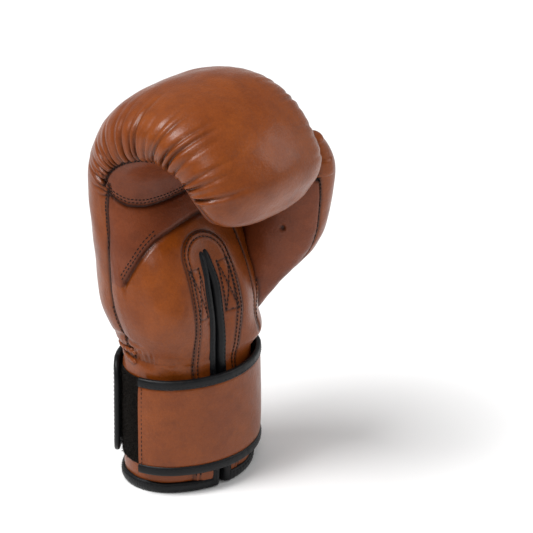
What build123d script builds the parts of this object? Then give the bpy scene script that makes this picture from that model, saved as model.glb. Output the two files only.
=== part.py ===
from build123d import *

import os
from math import hypot

# Right-hand boxing glove, standing on its cuff.
#
# Frame: millimetres. +Z runs from the cuff to the knuckles, the palm faces -Y, the back of the hand
# faces +Y and the thumb is on +X. The origin is the centre of the hand opening, on the rim's plane.
# "Ulnar" is the little-finger side (-X) and "radial" is the thumb side (+X).
#
# Side-profile points are written (palm, z), where palm is the distance towards the palm, so y = -palm.

# ---- driving dimensions --------------------------------------------------------------------------
CUFF_HALF_WIDTH = 48.0  # outside of the cuff leather, along X
CUFF_HALF_DEPTH = 37.0  # outside of the cuff leather, along Y
SIDE_ARC = 30.0  # radius of the cuff oval's two side arcs
CUFF_HEIGHT = 92.0
HEM_HEIGHT = 9.0
LEATHER = 1.3
CUFF_FOAM = 6.5
LINING = 1.0
BODY_GAP = 0.35  # clearance between pieces that move apart

SLIT_X = -7.0  # the palm slit's middle
SLIT_TOP = 163.0
SLIT_HALF_GAP = 1.5
BINDING_WIDTH = 5.0
BINDING_PROUD = 1.0
BINDING_WALL = 1.3
PATCH_HALF_WIDTH = 20.0  # the leather patch stitched round the slit
PATCH_THICKNESS = 1.2
PATCH_TOP = 178.0
RADIAL_FLAP_EDGE = 28.0  # x of the fold line that the narrow flap turns about

STRAP_LOW = 15.0
STRAP_HIGH = 84.0
STRAP_BINDING = 6.5
STRAP_INNER = 2.9  # the strap's two faces, measured out from the cuff leather
STRAP_OUTER = 6.1
STRAP_BACKING = 1.0
STRAP_START = 5.0  # palm distance of the sewn end, on the ulnar side
STRAP_TIP_X = -47.0
STRAP_TIP_CORNER = 15.0
LOOP_THICKNESS = 1.2
LOOP_MARGIN = 3.0  # from the strap's edge in to the loop patch's edge
HOOK_INNER = 1.6
HOOK_MARGIN = 8.0  # bare leather round the hook patch
PIPING = 3.6  # height of each of the neck's two pipings
PIPING_PROUD = 1.8

FAR = 400.0  # reach of the blocks that cut a region out of a shell
LOFT_STRETCH = 2  # section gaps in one loft

# Fist and hand sections, cuff to finger tips: (outer point, inner point, half width).
# Each outer and inner point is (palm, z); the section is an ellipse across the line between them.
HAND_SECTIONS = [
    ((-37.0, 92.0), (37.0, 92.0), 48.0),
    ((-51.0, 124.0), (39.0, 122.0), 55.0),
    ((-57.0, 168.0), (24.0, 160.0), 55.5),
    ((-57.0, 208.0), (4.0, 192.0), 55.5),
    ((-46.0, 250.0), (-1.0, 210.0), 56.5),
    ((-13.0, 277.0), (7.0, 224.0), 58.0),
    ((29.0, 283.0), (19.0, 229.0), 58.0),
    ((65.0, 266.0), (32.0, 223.0), 57.0),
    ((86.0, 235.0), (40.0, 214.0), 53.0),
    ((80.0, 211.0), (47.0, 207.0), 44.0),
    ((70.0, 200.0), (56.0, 201.0), 28.0),
]
# The room for the hand, from the cuff to the finger tips, in the same form.
CAVITY_SECTIONS = [
    ((-28.2, 91.0), (28.2, 91.0), 39.2),
    ((-28.0, 126.0), (28.0, 122.0), 43.0),
    ((-31.0, 168.0), (10.0, 160.0), 45.0),
    ((-31.0, 208.0), (-9.0, 198.0), 45.0),
    ((-20.0, 240.0), (-7.0, 222.0), 45.0),
    ((2.0, 258.0), (6.0, 238.0), 45.0),
    ((34.0, 262.0), (26.0, 240.0), 44.0),
    ((61.0, 246.0), (44.0, 231.0), 40.0),
    ((71.0, 224.0), (53.0, 218.0), 34.0),
]
PALM_PANEL_TOP = 204.0
PALM_PANEL_REACH = 36.0  # the palm panel lies no further than this towards the palm
CROOK_HALF_WIDTH = 90.0  # reach of the crook's region to both sides
CROOK_OUTLINE = [  # side profile of the leather that lines the crook between the fingers and the palm
    (-6, 204), (-2, 224), (16, 238), (38, 229), (50, 208), (58, 192), (58, 168), (36, 168), (36, 204),
]
# The padding is layered: side profiles of the regions that its four pieces lie in.
FOAM_OUTLINES = {
    "wrist_foam": [(-95, 80), (95, 80), (95, 130), (-95, 130)],
    "back_foam": [(-95, 130), (95, 130), (40, 160), (12, 188), (4, 192), (-90, 220)],
    "knuckle_foam": [(-90, 220), (4, 192), (13, 205), (20, 228), (35.5, 304), (-90, 304)],
    "finger_foam": [(35.5, 304), (20, 228), (13, 205), (40, 165), (120, 165), (120, 304)],
}
GRIP_BAR_RADIUS = 3.2
GRIP_BAR_ARC = [(-28.0, -5.2, 221.0), (0.0, -3.0, 218.5), (28.0, -5.2, 221.0)]  # (x, palm, z)

# Thumb sections: centre (x, palm, z), direction of the thumb there, half width, half depth.
THUMB_SECTIONS = [
    ((45.0, 5.0, 104.0), (0.30, -0.25, 1.0), 17.0, 19.0),
    ((53.0, 15.0, 132.0), (0.32, -0.36, 1.0), 20.0, 23.0),
    ((61.0, 29.0, 163.0), (0.20, -0.45, 1.0), 23.0, 27.0),
    ((64.0, 42.0, 192.0), (0.02, -0.45, 1.0), 20.0, 24.0),
    ((63.5, 52.0, 217.0), (-0.08, -0.40, 1.0), 15.0, 17.0),
    ((62.0, 56.0, 234.0), (-0.12, -0.30, 1.0), 6.0, 7.0),
]
THUMB_PAD = 9.0
THUMB_INNER_PAD = 4.0  # thinner padding between the thumb and the hand
THUMB_LEAST = 1.5  # least half width of a section, at the tip
THUMB_CLEARANCE = 1.2
THUMB_PANEL_PLANE = Plane(origin=(60, -30, 163), z_dir=(-0.72, -0.66, -0.16))  # the inner panel lies beyond
THUMB_DOOR_START = (24.0, 4.0, 112.0)  # axis of the way from the hand's room to the thumb's (x, palm, z)
THUMB_DOOR_END = (62.0, 22.0, 148.0)
THUMB_DOOR_RADIUS = 11.0
THUMB_FOAM_SPLIT = 142.0  # height where the thumb's two pads meet, at the doorway
VENTS = [(43.0, 46.0, 172.0), (56.0, 65.0, 208.0)]  # (x, palm, z), on the thumb's inner panel
VENT_RADIUS = 2.6
VENT_LENGTH = 30.0
VENT_START = 5.0  # how far before the panel's plane the hole begins
LOCK_TAB_LOW = (55.0, -84.0, 206.0)  # corners of the space that the tab at the thumb's tip lies in
LOCK_TAB_HIGH = (71.0, -56.0, 220.0)
LOCK_TAB_THICKNESS = 1.6

os.makedirs("parts", exist_ok=True)


def save(part, name):
    """Writes one sub-part as its own STEP file."""
    part.label = name
    export_step(part, f"parts/{name}.step")


# ---- shared shapes -------------------------------------------------------------------------------
def oval_corner(grow):
    """Where a long arc of the cuff's four-arc outline meets a side arc, once it is grown outward by grow."""
    side_centre = CUFF_HALF_WIDTH - SIDE_ARC
    # The long arcs touch the side arcs: (r - SIDE_ARC)^2 = side_centre^2 + (r - CUFF_HALF_DEPTH)^2.
    long_arc = (side_centre**2 + CUFF_HALF_DEPTH**2 - SIDE_ARC**2) / (2 * (CUFF_HALF_DEPTH - SIDE_ARC))
    long_centre = long_arc - CUFF_HALF_DEPTH
    reach = (SIDE_ARC + grow) / hypot(side_centre, long_centre)
    return side_centre + side_centre * reach, long_centre * reach


def oval_ring(inner, outer, low, high):
    """An upright oval band between two offsets of the cuff's outline."""
    with BuildPart() as ring:
        for grow, mode in ((outer, Mode.ADD), (inner, Mode.SUBTRACT)):
            x, y = oval_corner(grow)
            half_width = CUFF_HALF_WIDTH + grow
            half_depth = CUFF_HALF_DEPTH + grow
            with BuildSketch(Plane.XY.offset(low)):
                with BuildLine():
                    ThreePointArc((x, -y), (half_width, 0), (x, y))
                    ThreePointArc((x, y), (0, half_depth), (-x, y))
                    ThreePointArc((-x, y), (-half_width, 0), (-x, -y))
                    ThreePointArc((-x, -y), (0, -half_depth), (x, -y))
                make_face()
            extrude(amount=high - low, mode=mode)
    return ring.part


def block(low, high):
    """A box between two corners."""
    size = [b - a for a, b in zip(low, high)]
    with BuildPart() as made:
        with Locations(Vector(*low)):
            Box(*size, align=(Align.MIN, Align.MIN, Align.MIN))
    return made.part


def profile_slab(points, half_width):
    """A side-profile outline of (palm, z) points, pushed out to both sides along X."""
    with BuildPart() as made:
        with BuildSketch(Plane.YZ):
            with BuildLine():
                Polyline([(-palm, z) for palm, z in points], close=True)
            make_face()
        extrude(amount=half_width, both=True)
    return made.part


def section_plane(outer, inner, along=0.0):
    """The plane across the hand through an outer and an inner profile point, and their half distance."""
    a = Vector(0, -outer[0], outer[1])
    b = Vector(0, -inner[0], inner[1])
    across = (a - b).normalized()
    normal = Vector(1, 0, 0).cross(across)
    return Plane(origin=(a + b) * 0.5 + normal * along, x_dir=(1, 0, 0), z_dir=normal), (a - b).length / 2


def flowing(rows, steps):
    """Rows of numbers with steps more rows between each pair, on a Catmull-Rom curve through them."""
    ends = [rows[0], *rows, rows[-1]]
    made = []
    for before, start, end, after in zip(ends, ends[1:], ends[2:], ends[3:]):
        for step in range(steps + 1):
            t = step / (steps + 1)
            made.append([
                b + 0.5 * t * ((c - a) + t * (2 * a - 5 * b + 4 * c - d + t * (3 * (b - c) + d - a)))
                for a, b, c, d in zip(before, start, end, after)
            ])
    return [*made, list(rows[-1])]


def hand_solid(sections, grow):
    """A closed loft through sections, each grown by grow; the finger-tip end grows by the same."""
    rows = flowing([(*outer, *inner, half_width) for outer, inner, half_width in sections], 1)
    last = len(rows) - 1
    with BuildPart() as made:
        # The hand curls through more than half a turn, so it is lofted in short stretches.
        for first in range(0, last, LOFT_STRETCH):
            for number in range(first, min(first + LOFT_STRETCH, last) + 1):
                *points, half_width = rows[number]
                plane, half = section_plane(points[:2], points[2:], grow if number == last else 0.0)
                with BuildSketch(plane):
                    Ellipse(half_width + grow, half + grow)
            loft(ruled=True)
    return made.part


def thumb_solid(grow):
    """A closed loft along the thumb, each section grown by grow; the tip grows by the same."""
    rows = flowing([(*centre, *along, wide, deep) for centre, along, wide, deep in THUMB_SECTIONS], 1)
    with BuildPart() as made:
        for number, (x, palm, z, *direction, wide, deep) in enumerate(rows):
            along = Vector(*direction).normalized()
            origin = Vector(x, -palm, z) + along * (grow if number == len(rows) - 1 else 0.0)
            with BuildSketch(Plane(origin=origin, x_dir=(1, 0, 0), z_dir=along)):
                Ellipse(max(wide + grow, THUMB_LEAST), max(deep + grow, THUMB_LEAST))
        loft(ruled=True)
    return made.part


def cut(base, *removed):
    """base without each of removed."""
    with BuildPart() as made:
        add(base)
        for piece in removed:
            add(piece, mode=Mode.SUBTRACT)
    return made.part


def keep(base, region, *removed):
    """What of base lies in region, without each of removed."""
    with BuildPart() as made:
        add(base)
        add(region, mode=Mode.INTERSECT)
        for piece in removed:
            add(piece, mode=Mode.SUBTRACT)
    return made.part


def rounded_end(margin):
    """The strap's outline from its rounded tip to beyond the middle, inset by margin, pushed out along +Y."""
    with BuildPart() as made:
        with BuildSketch(Plane.XZ):
            with Locations((STRAP_TIP_X + margin, (STRAP_LOW + STRAP_HIGH) / 2)):
                RectangleRounded(
                    2 * abs(STRAP_TIP_X), STRAP_HIGH - STRAP_LOW - 2 * margin,
                    STRAP_TIP_CORNER - margin, align=(Align.MIN, Align.CENTER),
                )
        extrude(amount=-FAR)
    return made.part


# ---- regions that share the glove out among its bodies -------------------------------------------
BELOW_HEM = -1.0
ulnar_edge = SLIT_X - SLIT_HALF_GAP
radial_edge = SLIT_X + SLIT_HALF_GAP
fold = RADIAL_FLAP_EDGE - BODY_GAP


def flap_regions(inset, low=BELOW_HEM, high=SLIT_TOP):
    """The ulnar and the radial flap's regions, starting inset away from the slit's edges."""
    return {
        "ulnar": block((-FAR, -FAR, low), (ulnar_edge - inset, -BODY_GAP, high)),
        "radial": block((radial_edge + inset, -FAR, low), (fold, -BODY_GAP, high)),
    }


leather_regions = flap_regions(BINDING_WIDTH)
foam_regions = flap_regions(BINDING_WALL)
binding_regions = {
    "ulnar": block((ulnar_edge - BINDING_WIDTH, -FAR, BELOW_HEM), (ulnar_edge, -BODY_GAP, SLIT_TOP)),
    "radial": block((radial_edge, -FAR, BELOW_HEM), (radial_edge + BINDING_WIDTH, -BODY_GAP, SLIT_TOP)),
}
# Everything that the two flaps and the slit take out of the fixed part of the glove.
opening_region = block((-FAR, -FAR, BELOW_HEM), (RADIAL_FLAP_EDGE, 0, SLIT_TOP + BODY_GAP))
back_region = block((-FAR, BODY_GAP, BELOW_HEM), (FAR, FAR, CUFF_HEIGHT + PIPING * 3))
gusset_region = block((RADIAL_FLAP_EDGE, -FAR, CUFF_HEIGHT), (FAR, 0, SLIT_TOP + BODY_GAP))
below_neck = block((-FAR, -FAR, BELOW_HEM), (FAR, FAR, CUFF_HEIGHT))
palm_region = block((-FAR, -PALM_PANEL_REACH, SLIT_TOP + BODY_GAP), (FAR, 0, PALM_PANEL_TOP))
crook_region = profile_slab(CROOK_OUTLINE, CROOK_HALF_WIDTH)
with BuildPart() as thumb_door:
    door_start = Vector(THUMB_DOOR_START[0], -THUMB_DOOR_START[1], THUMB_DOOR_START[2])
    door_end = Vector(THUMB_DOOR_END[0], -THUMB_DOOR_END[1], THUMB_DOOR_END[2])
    with BuildSketch(Plane(origin=door_start, z_dir=door_end - door_start)):
        Circle(THUMB_DOOR_RADIUS)
    extrude(amount=(door_end - door_start).length)

hand_outside = hand_solid(HAND_SECTIONS, 0)
hand_foam_outside = hand_solid(HAND_SECTIONS, -LEATHER)
lining_outside = hand_solid(CAVITY_SECTIONS, LINING)
hand_room = hand_solid(CAVITY_SECTIONS, 0)

# ---- grip bar: the firm roll that the fingers close round ----------------------------------------
with BuildPart() as grip_bar:
    with BuildLine():
        bar_line = ThreePointArc(*[(x, -palm, z) for x, palm, z in GRIP_BAR_ARC])
    with BuildSketch(Plane(origin=bar_line @ 0, z_dir=bar_line % 0)):
        Circle(GRIP_BAR_RADIUS)
    sweep()
save(grip_bar.part, "grip_bar")

# ---- fist and hand: leather panels, padding and lining -------------------------------------------
door = thumb_door.part
save(
    cut(hand_outside, hand_foam_outside, opening_region, gusset_region, palm_region, crook_region, door),
    "main_shell",
)
save(keep(hand_outside, palm_region, hand_foam_outside, crook_region), "upper_palm_panel")
save(keep(hand_outside, crook_region, hand_foam_outside), "finger_inner_panel")
save(keep(hand_outside, gusset_region, hand_foam_outside, door), "thumb_side_gusset")
hand_foam = cut(hand_foam_outside, lining_outside, opening_region, grip_bar.part, door)
for name, outline in FOAM_OUTLINES.items():
    save(keep(hand_foam, profile_slab(outline, CROOK_HALF_WIDTH)), name)
save(cut(lining_outside, hand_room, opening_region, below_neck, door), "hand_lining")

# ---- heel of the hand, on each side of the slit --------------------------------------------------
for side in ("ulnar", "radial"):
    save(keep(hand_outside, leather_regions[side], hand_foam_outside), f"{side}_heel_leather")
    save(keep(hand_foam_outside, foam_regions[side], lining_outside), f"{side}_heel_foam")
    save(keep(lining_outside, leather_regions[side], hand_room, below_neck), f"{side}_heel_lining")

# ---- cuff: leather, padding, lining and hem, in three sectors ------------------------------------
foam_in = -LEATHER - CUFF_FOAM
lining_in = foam_in - LINING
cuff_core = oval_ring(foam_in, -LEATHER, BINDING_WALL, CUFF_HEIGHT)
cuff_leather = oval_ring(-LEATHER, 0, HEM_HEIGHT, CUFF_HEIGHT)
cuff_lining = oval_ring(lining_in, foam_in, HEM_HEIGHT, CUFF_HEIGHT)
hem = cut(oval_ring(lining_in, BINDING_PROUD, 0, HEM_HEIGHT), cuff_core)
save(cut(cuff_leather, opening_region), "back_cuff_leather")
save(cut(cuff_core, opening_region), "back_cuff_foam")
save(cut(cuff_lining, opening_region), "back_cuff_lining")
save(cut(hem, opening_region), "back_hem_binding")
for side in ("ulnar", "radial"):
    save(keep(cuff_leather, leather_regions[side]), f"{side}_cuff_leather")
    save(keep(cuff_core, foam_regions[side]), f"{side}_cuff_foam")
    save(keep(cuff_lining, leather_regions[side]), f"{side}_cuff_lining")
    save(keep(hem, leather_regions[side]), f"{side}_hem_binding")

# ---- binding folded over each edge of the slit, and the patch stitched round it ------------------
cuff_edge = oval_ring(lining_in, BINDING_PROUD, 0, CUFF_HEIGHT)
heel_edge = cut(hand_solid(HAND_SECTIONS, BINDING_PROUD), hand_room, below_neck)
heel_core = cut(hand_foam_outside, lining_outside)
patch_outside = hand_solid(HAND_SECTIONS, PATCH_THICKNESS)
patch_reach = PATCH_HALF_WIDTH - SLIT_HALF_GAP
ulnar_patch_low = (ulnar_edge - patch_reach, -FAR, CUFF_HEIGHT)
radial_patch_low = (radial_edge + BINDING_WIDTH, -FAR, CUFF_HEIGHT)
patch_regions = {
    "ulnar": block(ulnar_patch_low, (ulnar_edge - BINDING_WIDTH, 0, SLIT_TOP)),
    "radial": block(radial_patch_low, (radial_edge + patch_reach, 0, SLIT_TOP)),
}
for side in ("ulnar", "radial"):
    with BuildPart() as binding:
        add(keep(cuff_edge, binding_regions[side], keep(cuff_core, foam_regions[side])))
        add(keep(heel_edge, binding_regions[side], keep(heel_core, foam_regions[side])))
    save(binding.part, f"{side}_slit_binding")
    save(keep(patch_outside, patch_regions[side], hand_outside), f"{side}_slit_patch")

with BuildPart() as arch:
    with BuildSketch(Plane.XZ):
        with BuildLine():
            Polyline(
                (SLIT_X - PATCH_HALF_WIDTH, SLIT_TOP + BODY_GAP),
                (SLIT_X + PATCH_HALF_WIDTH, SLIT_TOP + BODY_GAP),
            )
            ThreePointArc(
                (SLIT_X + PATCH_HALF_WIDTH, SLIT_TOP + BODY_GAP),
                (SLIT_X, PATCH_TOP),
                (SLIT_X - PATCH_HALF_WIDTH, SLIT_TOP + BODY_GAP),
            )
        make_face()
    extrude(amount=CUFF_HALF_DEPTH)
save(keep(patch_outside, arch.part, hand_outside), "slit_top_patch")

# ---- neck: two pipings over the seam between the fist and the cuff, on the back ------------------
low_piping = oval_ring(0, PIPING_PROUD, CUFF_HEIGHT - PIPING, CUFF_HEIGHT)
high_band = block((-FAR, BODY_GAP, CUFF_HEIGHT + PIPING), (FAR, FAR, CUFF_HEIGHT + 2 * PIPING))
high_piping = keep(hand_solid(HAND_SECTIONS, PIPING_PROUD), high_band, hand_outside)
with BuildPart() as neck_piping:
    add(keep(low_piping, back_region))
    add(cut(high_piping, thumb_solid(THUMB_CLEARANCE)))
save(neck_piping.part, "neck_piping")

# ---- loop patch on the cuff, where the strap's tip is pressed down -------------------------------
loop_band = oval_ring(0, LOOP_THICKNESS, STRAP_LOW + LOOP_MARGIN, STRAP_HIGH - LOOP_MARGIN)
save(keep(loop_band, block((-FAR, BODY_GAP, 0), (-STRAP_BINDING, FAR, CUFF_HEIGHT))), "loop_patch")

# ---- thumb ---------------------------------------------------------------------------------------
skin_inner = THUMB_CLEARANCE + LEATHER
pad_inner = skin_inner + THUMB_INNER_PAD
thumb_outside = cut(thumb_solid(0), hand_solid(HAND_SECTIONS, THUMB_CLEARANCE))
thumb_foam_outside = cut(thumb_solid(-LEATHER), hand_solid(HAND_SECTIONS, skin_inner))
thumb_lining_outside = cut(thumb_solid(-LEATHER - THUMB_PAD), hand_solid(HAND_SECTIONS, pad_inner))
thumb_room = cut(
    thumb_solid(-LEATHER - THUMB_PAD - LINING), hand_solid(HAND_SECTIONS, pad_inner + LINING)
)
with BuildPart() as panel_side:
    with BuildSketch(THUMB_PANEL_PLANE):
        Rectangle(FAR, FAR)
    extrude(amount=FAR)
thumb_holes = []
panel_way = THUMB_PANEL_PLANE.z_dir
for x, palm, z in VENTS:
    hole_start = Vector(x, -palm, z) + panel_way * VENT_START
    with BuildPart() as hole:
        with BuildSketch(Plane(origin=hole_start, z_dir=-panel_way)):
            Circle(VENT_RADIUS)
        extrude(amount=VENT_LENGTH)
    thumb_holes.append(hole.part)
save(cut(thumb_outside, thumb_foam_outside, panel_side.part, door), "thumb_shell")
save(keep(thumb_outside, panel_side.part, thumb_foam_outside, door, *thumb_holes), "thumb_inner_panel")
thumb_padding = cut(thumb_foam_outside, thumb_lining_outside, door)
thumb_base = block((-FAR, -FAR, 0), (FAR, FAR, THUMB_FOAM_SPLIT))
save(keep(thumb_padding, thumb_base), "thumb_base_foam")
save(cut(thumb_padding, thumb_base), "thumb_foam")
thumb_lining = cut(thumb_lining_outside, thumb_room, door)
save(thumb_lining.solids().sort_by(SortBy.VOLUME)[-1], "thumb_lining")
beside_hand = hand_solid(HAND_SECTIONS, THUMB_CLEARANCE)
lock_space = block(LOCK_TAB_LOW, LOCK_TAB_HIGH)
save(keep(thumb_solid(LOCK_TAB_THICKNESS), lock_space, thumb_solid(0), beside_hand), "thumb_lock_tab")
# ---- strap: three sections of leather, backing and edge binding ----------------------------------
strap_sectors = {
    "palm": cut(
        block((-FAR, -FAR, 0), (FAR, -BODY_GAP, CUFF_HEIGHT)),
        block((-FAR, -STRAP_START, 0), (0, FAR, CUFF_HEIGHT)),
    ),
    "side": block((BODY_GAP, BODY_GAP, 0), (FAR, FAR, CUFF_HEIGHT)),
    "tip": keep(rounded_end(0), block((-FAR, BODY_GAP, 0), (-BODY_GAP, FAR, CUFF_HEIGHT))),
}
middle = block((-FAR, -FAR, STRAP_LOW + STRAP_BINDING), (FAR, FAR, STRAP_HIGH - STRAP_BINDING))
strap_middles = {"palm": middle, "side": middle, "tip": rounded_end(STRAP_BINDING)}
leather_band = oval_ring(STRAP_INNER + STRAP_BACKING, STRAP_OUTER, STRAP_LOW, STRAP_HIGH)
backing_band = oval_ring(STRAP_INNER, STRAP_INNER + STRAP_BACKING, STRAP_LOW, STRAP_HIGH)
edge_band = oval_ring(STRAP_INNER, STRAP_OUTER, STRAP_LOW, STRAP_HIGH)
for section, sector in strap_sectors.items():
    save(keep(keep(leather_band, sector), strap_middles[section]), f"strap_{section}_leather")
    save(keep(keep(backing_band, sector), strap_middles[section]), f"strap_{section}_backing")
    save(cut(keep(edge_band, sector), strap_middles[section]), f"strap_{section}_binding")

hook_band = oval_ring(HOOK_INNER, STRAP_INNER, STRAP_LOW, STRAP_HIGH)
hook_region = block((-FAR, BODY_GAP, 0), (-HOOK_MARGIN, FAR, CUFF_HEIGHT))
save(keep(keep(hook_band, rounded_end(HOOK_MARGIN)), hook_region), "hook_patch")
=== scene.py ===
import math

import bpy
import numpy as np
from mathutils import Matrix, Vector
from mathutils.bvhtree import BVHTree


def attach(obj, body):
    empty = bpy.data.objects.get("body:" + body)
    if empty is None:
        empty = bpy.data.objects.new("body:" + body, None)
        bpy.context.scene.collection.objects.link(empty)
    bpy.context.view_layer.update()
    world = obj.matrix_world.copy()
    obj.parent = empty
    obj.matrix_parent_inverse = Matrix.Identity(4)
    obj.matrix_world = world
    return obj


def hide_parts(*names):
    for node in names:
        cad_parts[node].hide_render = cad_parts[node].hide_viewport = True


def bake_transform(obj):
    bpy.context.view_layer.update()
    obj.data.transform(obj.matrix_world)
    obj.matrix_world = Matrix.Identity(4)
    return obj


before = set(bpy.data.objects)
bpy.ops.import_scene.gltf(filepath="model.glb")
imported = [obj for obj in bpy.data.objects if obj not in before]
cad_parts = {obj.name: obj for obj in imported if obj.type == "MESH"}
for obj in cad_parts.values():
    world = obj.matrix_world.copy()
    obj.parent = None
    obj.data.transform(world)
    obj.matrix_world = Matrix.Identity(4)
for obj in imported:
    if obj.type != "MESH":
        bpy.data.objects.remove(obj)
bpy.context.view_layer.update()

# Boxing glove. Lengths are in millimetres until a mesh is made, which is in metres. x is radial (thumb side),
# y is dorsal, z is up, and p = -y is the distance towards the palm.
MM = 0.001

# ---- the glove's shape ----
HALF_WIDTH, HALF_DEPTH, SIDE_ARC = 48.0, 37.0, 30.0
CUFF_HEIGHT, HEM_HEIGHT = 92.0, 6.6
SLIT_X, SLIT_TOP, SLIT_CUT = -7.0, 163.0, 5.0
STRAP_LOW, STRAP_HIGH, STRAP_BINDING = 15.0, 84.0, 6.5
STRAP_INNER, STRAP_OUTER = 2.9, 6.1
HAND = np.array([
    (-37, 92, 37, 92, 48), (-51, 124, 39, 122, 55), (-57, 168, 24, 160, 55.5), (-57, 208, 4, 192, 55.5),
    (-46, 250, -1, 210, 56.5), (-13, 277, 7, 224, 58), (29, 283, 19, 229, 58), (65, 266, 32, 223, 57),
    (86, 235, 40, 214, 53), (80, 211, 47, 207, 44), (70, 200, 56, 201, 28),
], float)  # outer (palm, z), inner (palm, z), half width
ROOM = np.array([
    (-28.2, 91, 28.2, 91, 39.2), (-28, 126, 28, 122, 43), (-31, 168, 10, 160, 45), (-31, 208, -9, 198, 45),
    (-20, 240, -7, 222, 45), (2, 258, 6, 238, 45), (34, 262, 26, 240, 44), (61, 246, 44, 231, 40),
    (71, 224, 53, 218, 34),
], float)
THUMB = np.array([
    (41, 2, 104, .30, -.25, 1, 14, 16), (51, 13.5, 132, .32, -.36, 1, 18.5, 21),
    (61, 29, 163, .20, -.45, 1, 23, 27), (64, 42, 192, .02, -.45, 1, 20, 24),
    (63.5, 52, 217, -.08, -.40, 1, 15, 17), (62, 56, 234, -.12, -.30, 1, 6, 7),
], float)  # centre (x, palm, z), direction, half width, half depth


def catmull(rows, t):
    """Rows of numbers at the places t, on a Catmull-Rom curve through them."""
    last = len(rows) - 1
    i = np.clip(np.floor(t).astype(int), 0, last - 1)
    f = (t - i)[..., None]
    a, b, c, d = rows[np.maximum(i - 1, 0)], rows[i], rows[i + 1], rows[np.minimum(i + 2, last)]
    return b + 0.5 * f * ((c - a) + f * (2 * a - 5 * b + 4 * c - d + f * (3 * (b - c) + d - a)))


def smooth(value, low, high):
    """0 up to low, 1 from high on, easing between."""
    t = np.clip((value - low) / (high - low), 0, 1)
    return t * t * (3 - 2 * t)


def window(value, low, low_full, high_full, high):
    """1 between low_full and high_full, easing to 0 at low and at high."""
    return smooth(value, low, low_full) * (1 - smooth(value, high_full, high))


def bell(distance, width):
    """1 where distance is 0, falling to almost nothing at twice the width."""
    return np.exp(-((distance / width) ** 2))


def oval(degrees, grow):
    """The cuff's four-arc outline grown outward by grow, at the angle of its normal: x and y."""
    angle = np.radians(degrees)
    side = HALF_WIDTH - SIDE_ARC
    long_arc = (side**2 + HALF_DEPTH**2 - SIDE_ARC**2) / (2 * (HALF_DEPTH - SIDE_ARC))
    long_centre = long_arc - HALF_DEPTH
    on_side = np.abs(np.sin(angle)) < math.sin(math.atan2(long_centre, side))
    radius = np.where(on_side, SIDE_ARC, long_arc) + grow
    x = np.where(on_side, side * np.sign(np.cos(angle)), 0) + radius * np.cos(angle)
    y = np.where(on_side, 0, -long_centre * np.sign(np.sin(angle))) + radius * np.sin(angle)
    return x, y


def oval_point(degrees, grow, at_z):
    """The point of that outline at a height."""
    x_at, y_at = oval(degrees, grow)
    return np.array([float(x_at), float(y_at), float(at_z)])


def out_of_oval(degrees):
    """The level direction that points out of the cuff there."""
    angle = math.radians(degrees)
    return np.array([math.cos(angle), math.sin(angle), 0])


def power(value, exponent):
    """value to an exponent, keeping its sign."""
    return np.sign(value) * np.abs(value) ** exponent


def curl(rows, u, v, grow, square):
    """A point of a tube lofted through rows. u counts rows; v turns from the back (90) past the ulnar side
    (180), the palm (270) and the radial side (360). Below row 0 it is the cuff, down to u = -1."""
    sections = catmull(rows, np.maximum(u, 0))
    outer_p, outer_z, inner_p, inner_z, width = np.moveaxis(sections, -1, 0)
    angle = np.radians(v)
    sx, sy = power(np.cos(angle), 2 / square), power(np.sin(angle), 2 / square)
    ox, oy = oval(v, 0)
    ease = smooth(u, 0, 1.2)
    sx = sx * ease + ox / HALF_WIDTH * (1 - ease)
    sy = sy * ease + oy / HALF_DEPTH * (1 - ease)
    half_p, half_z = (outer_p - inner_p) / 2, (outer_z - inner_z) / 2
    half = np.maximum(np.hypot(half_p, half_z), 1e-6)
    reach = 1 + grow / half
    x = sx * (width + grow)
    palm = (outer_p + inner_p) / 2 + half_p * sy * reach
    z = (outer_z + inner_z) / 2 + half_z * sy * reach
    below = u < 0
    z = np.where(below, HEM_HEIGHT + (CUFF_HEIGHT - HEM_HEIGHT) * (np.minimum(u, 0) + 1), z)
    return np.stack([x, -palm, z], -1)


def ripple(points, scale, seed):
    """A smooth repeatable noise, about -1 to 1, whose lumps are about scale across."""
    total = 0
    for k in range(5):
        turn = seed + 1.7 * k
        direction = np.array([math.sin(turn * 2.1), math.cos(turn * 1.3), math.sin(turn + 1.1)])
        direction /= np.linalg.norm(direction)
        total = total + np.sin(points @ direction * (2 * math.pi / scale) * (0.7 + 0.21 * k) + turn * 3.1)
    return total / 2.6


def normals_of(grid):
    along, across = np.gradient(grid, axis=0), np.gradient(grid, axis=1)
    normal = np.cross(across, along)
    return normal / np.maximum(np.linalg.norm(normal, axis=-1, keepdims=True), 1e-9)


def normals_round(grid):
    """Normals of a grid whose last column meets its first."""
    return normals_of(np.concatenate([grid, grid[:, :1]], axis=1))[:, :-1]


def facing(normals, place, way):
    """The grid of normals, turned over if the one at place points against way."""
    return -normals if normals[place] @ np.array(way) < 0 else normals


def distance_to_zero(field, grid):
    """About how far each grid point is from the line where field is 0, in millimetres."""
    along, across = np.gradient(grid, axis=0), np.gradient(grid, axis=1)
    fu, fv = np.gradient(field)
    e, g, f = (along**2).sum(-1), (across**2).sum(-1), (along * across).sum(-1)
    slope = (g * fu**2 - 2 * f * fu * fv + e * fv**2) / np.maximum(e * g - f * f, 1e-9)
    return np.abs(field) / np.sqrt(np.maximum(slope, 1e-6))


# ---- meshes ----
def linked(name, data):
    """A new object in the scene."""
    made = bpy.data.objects.new(name, data)
    bpy.context.scene.collection.objects.link(made)
    return made


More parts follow.
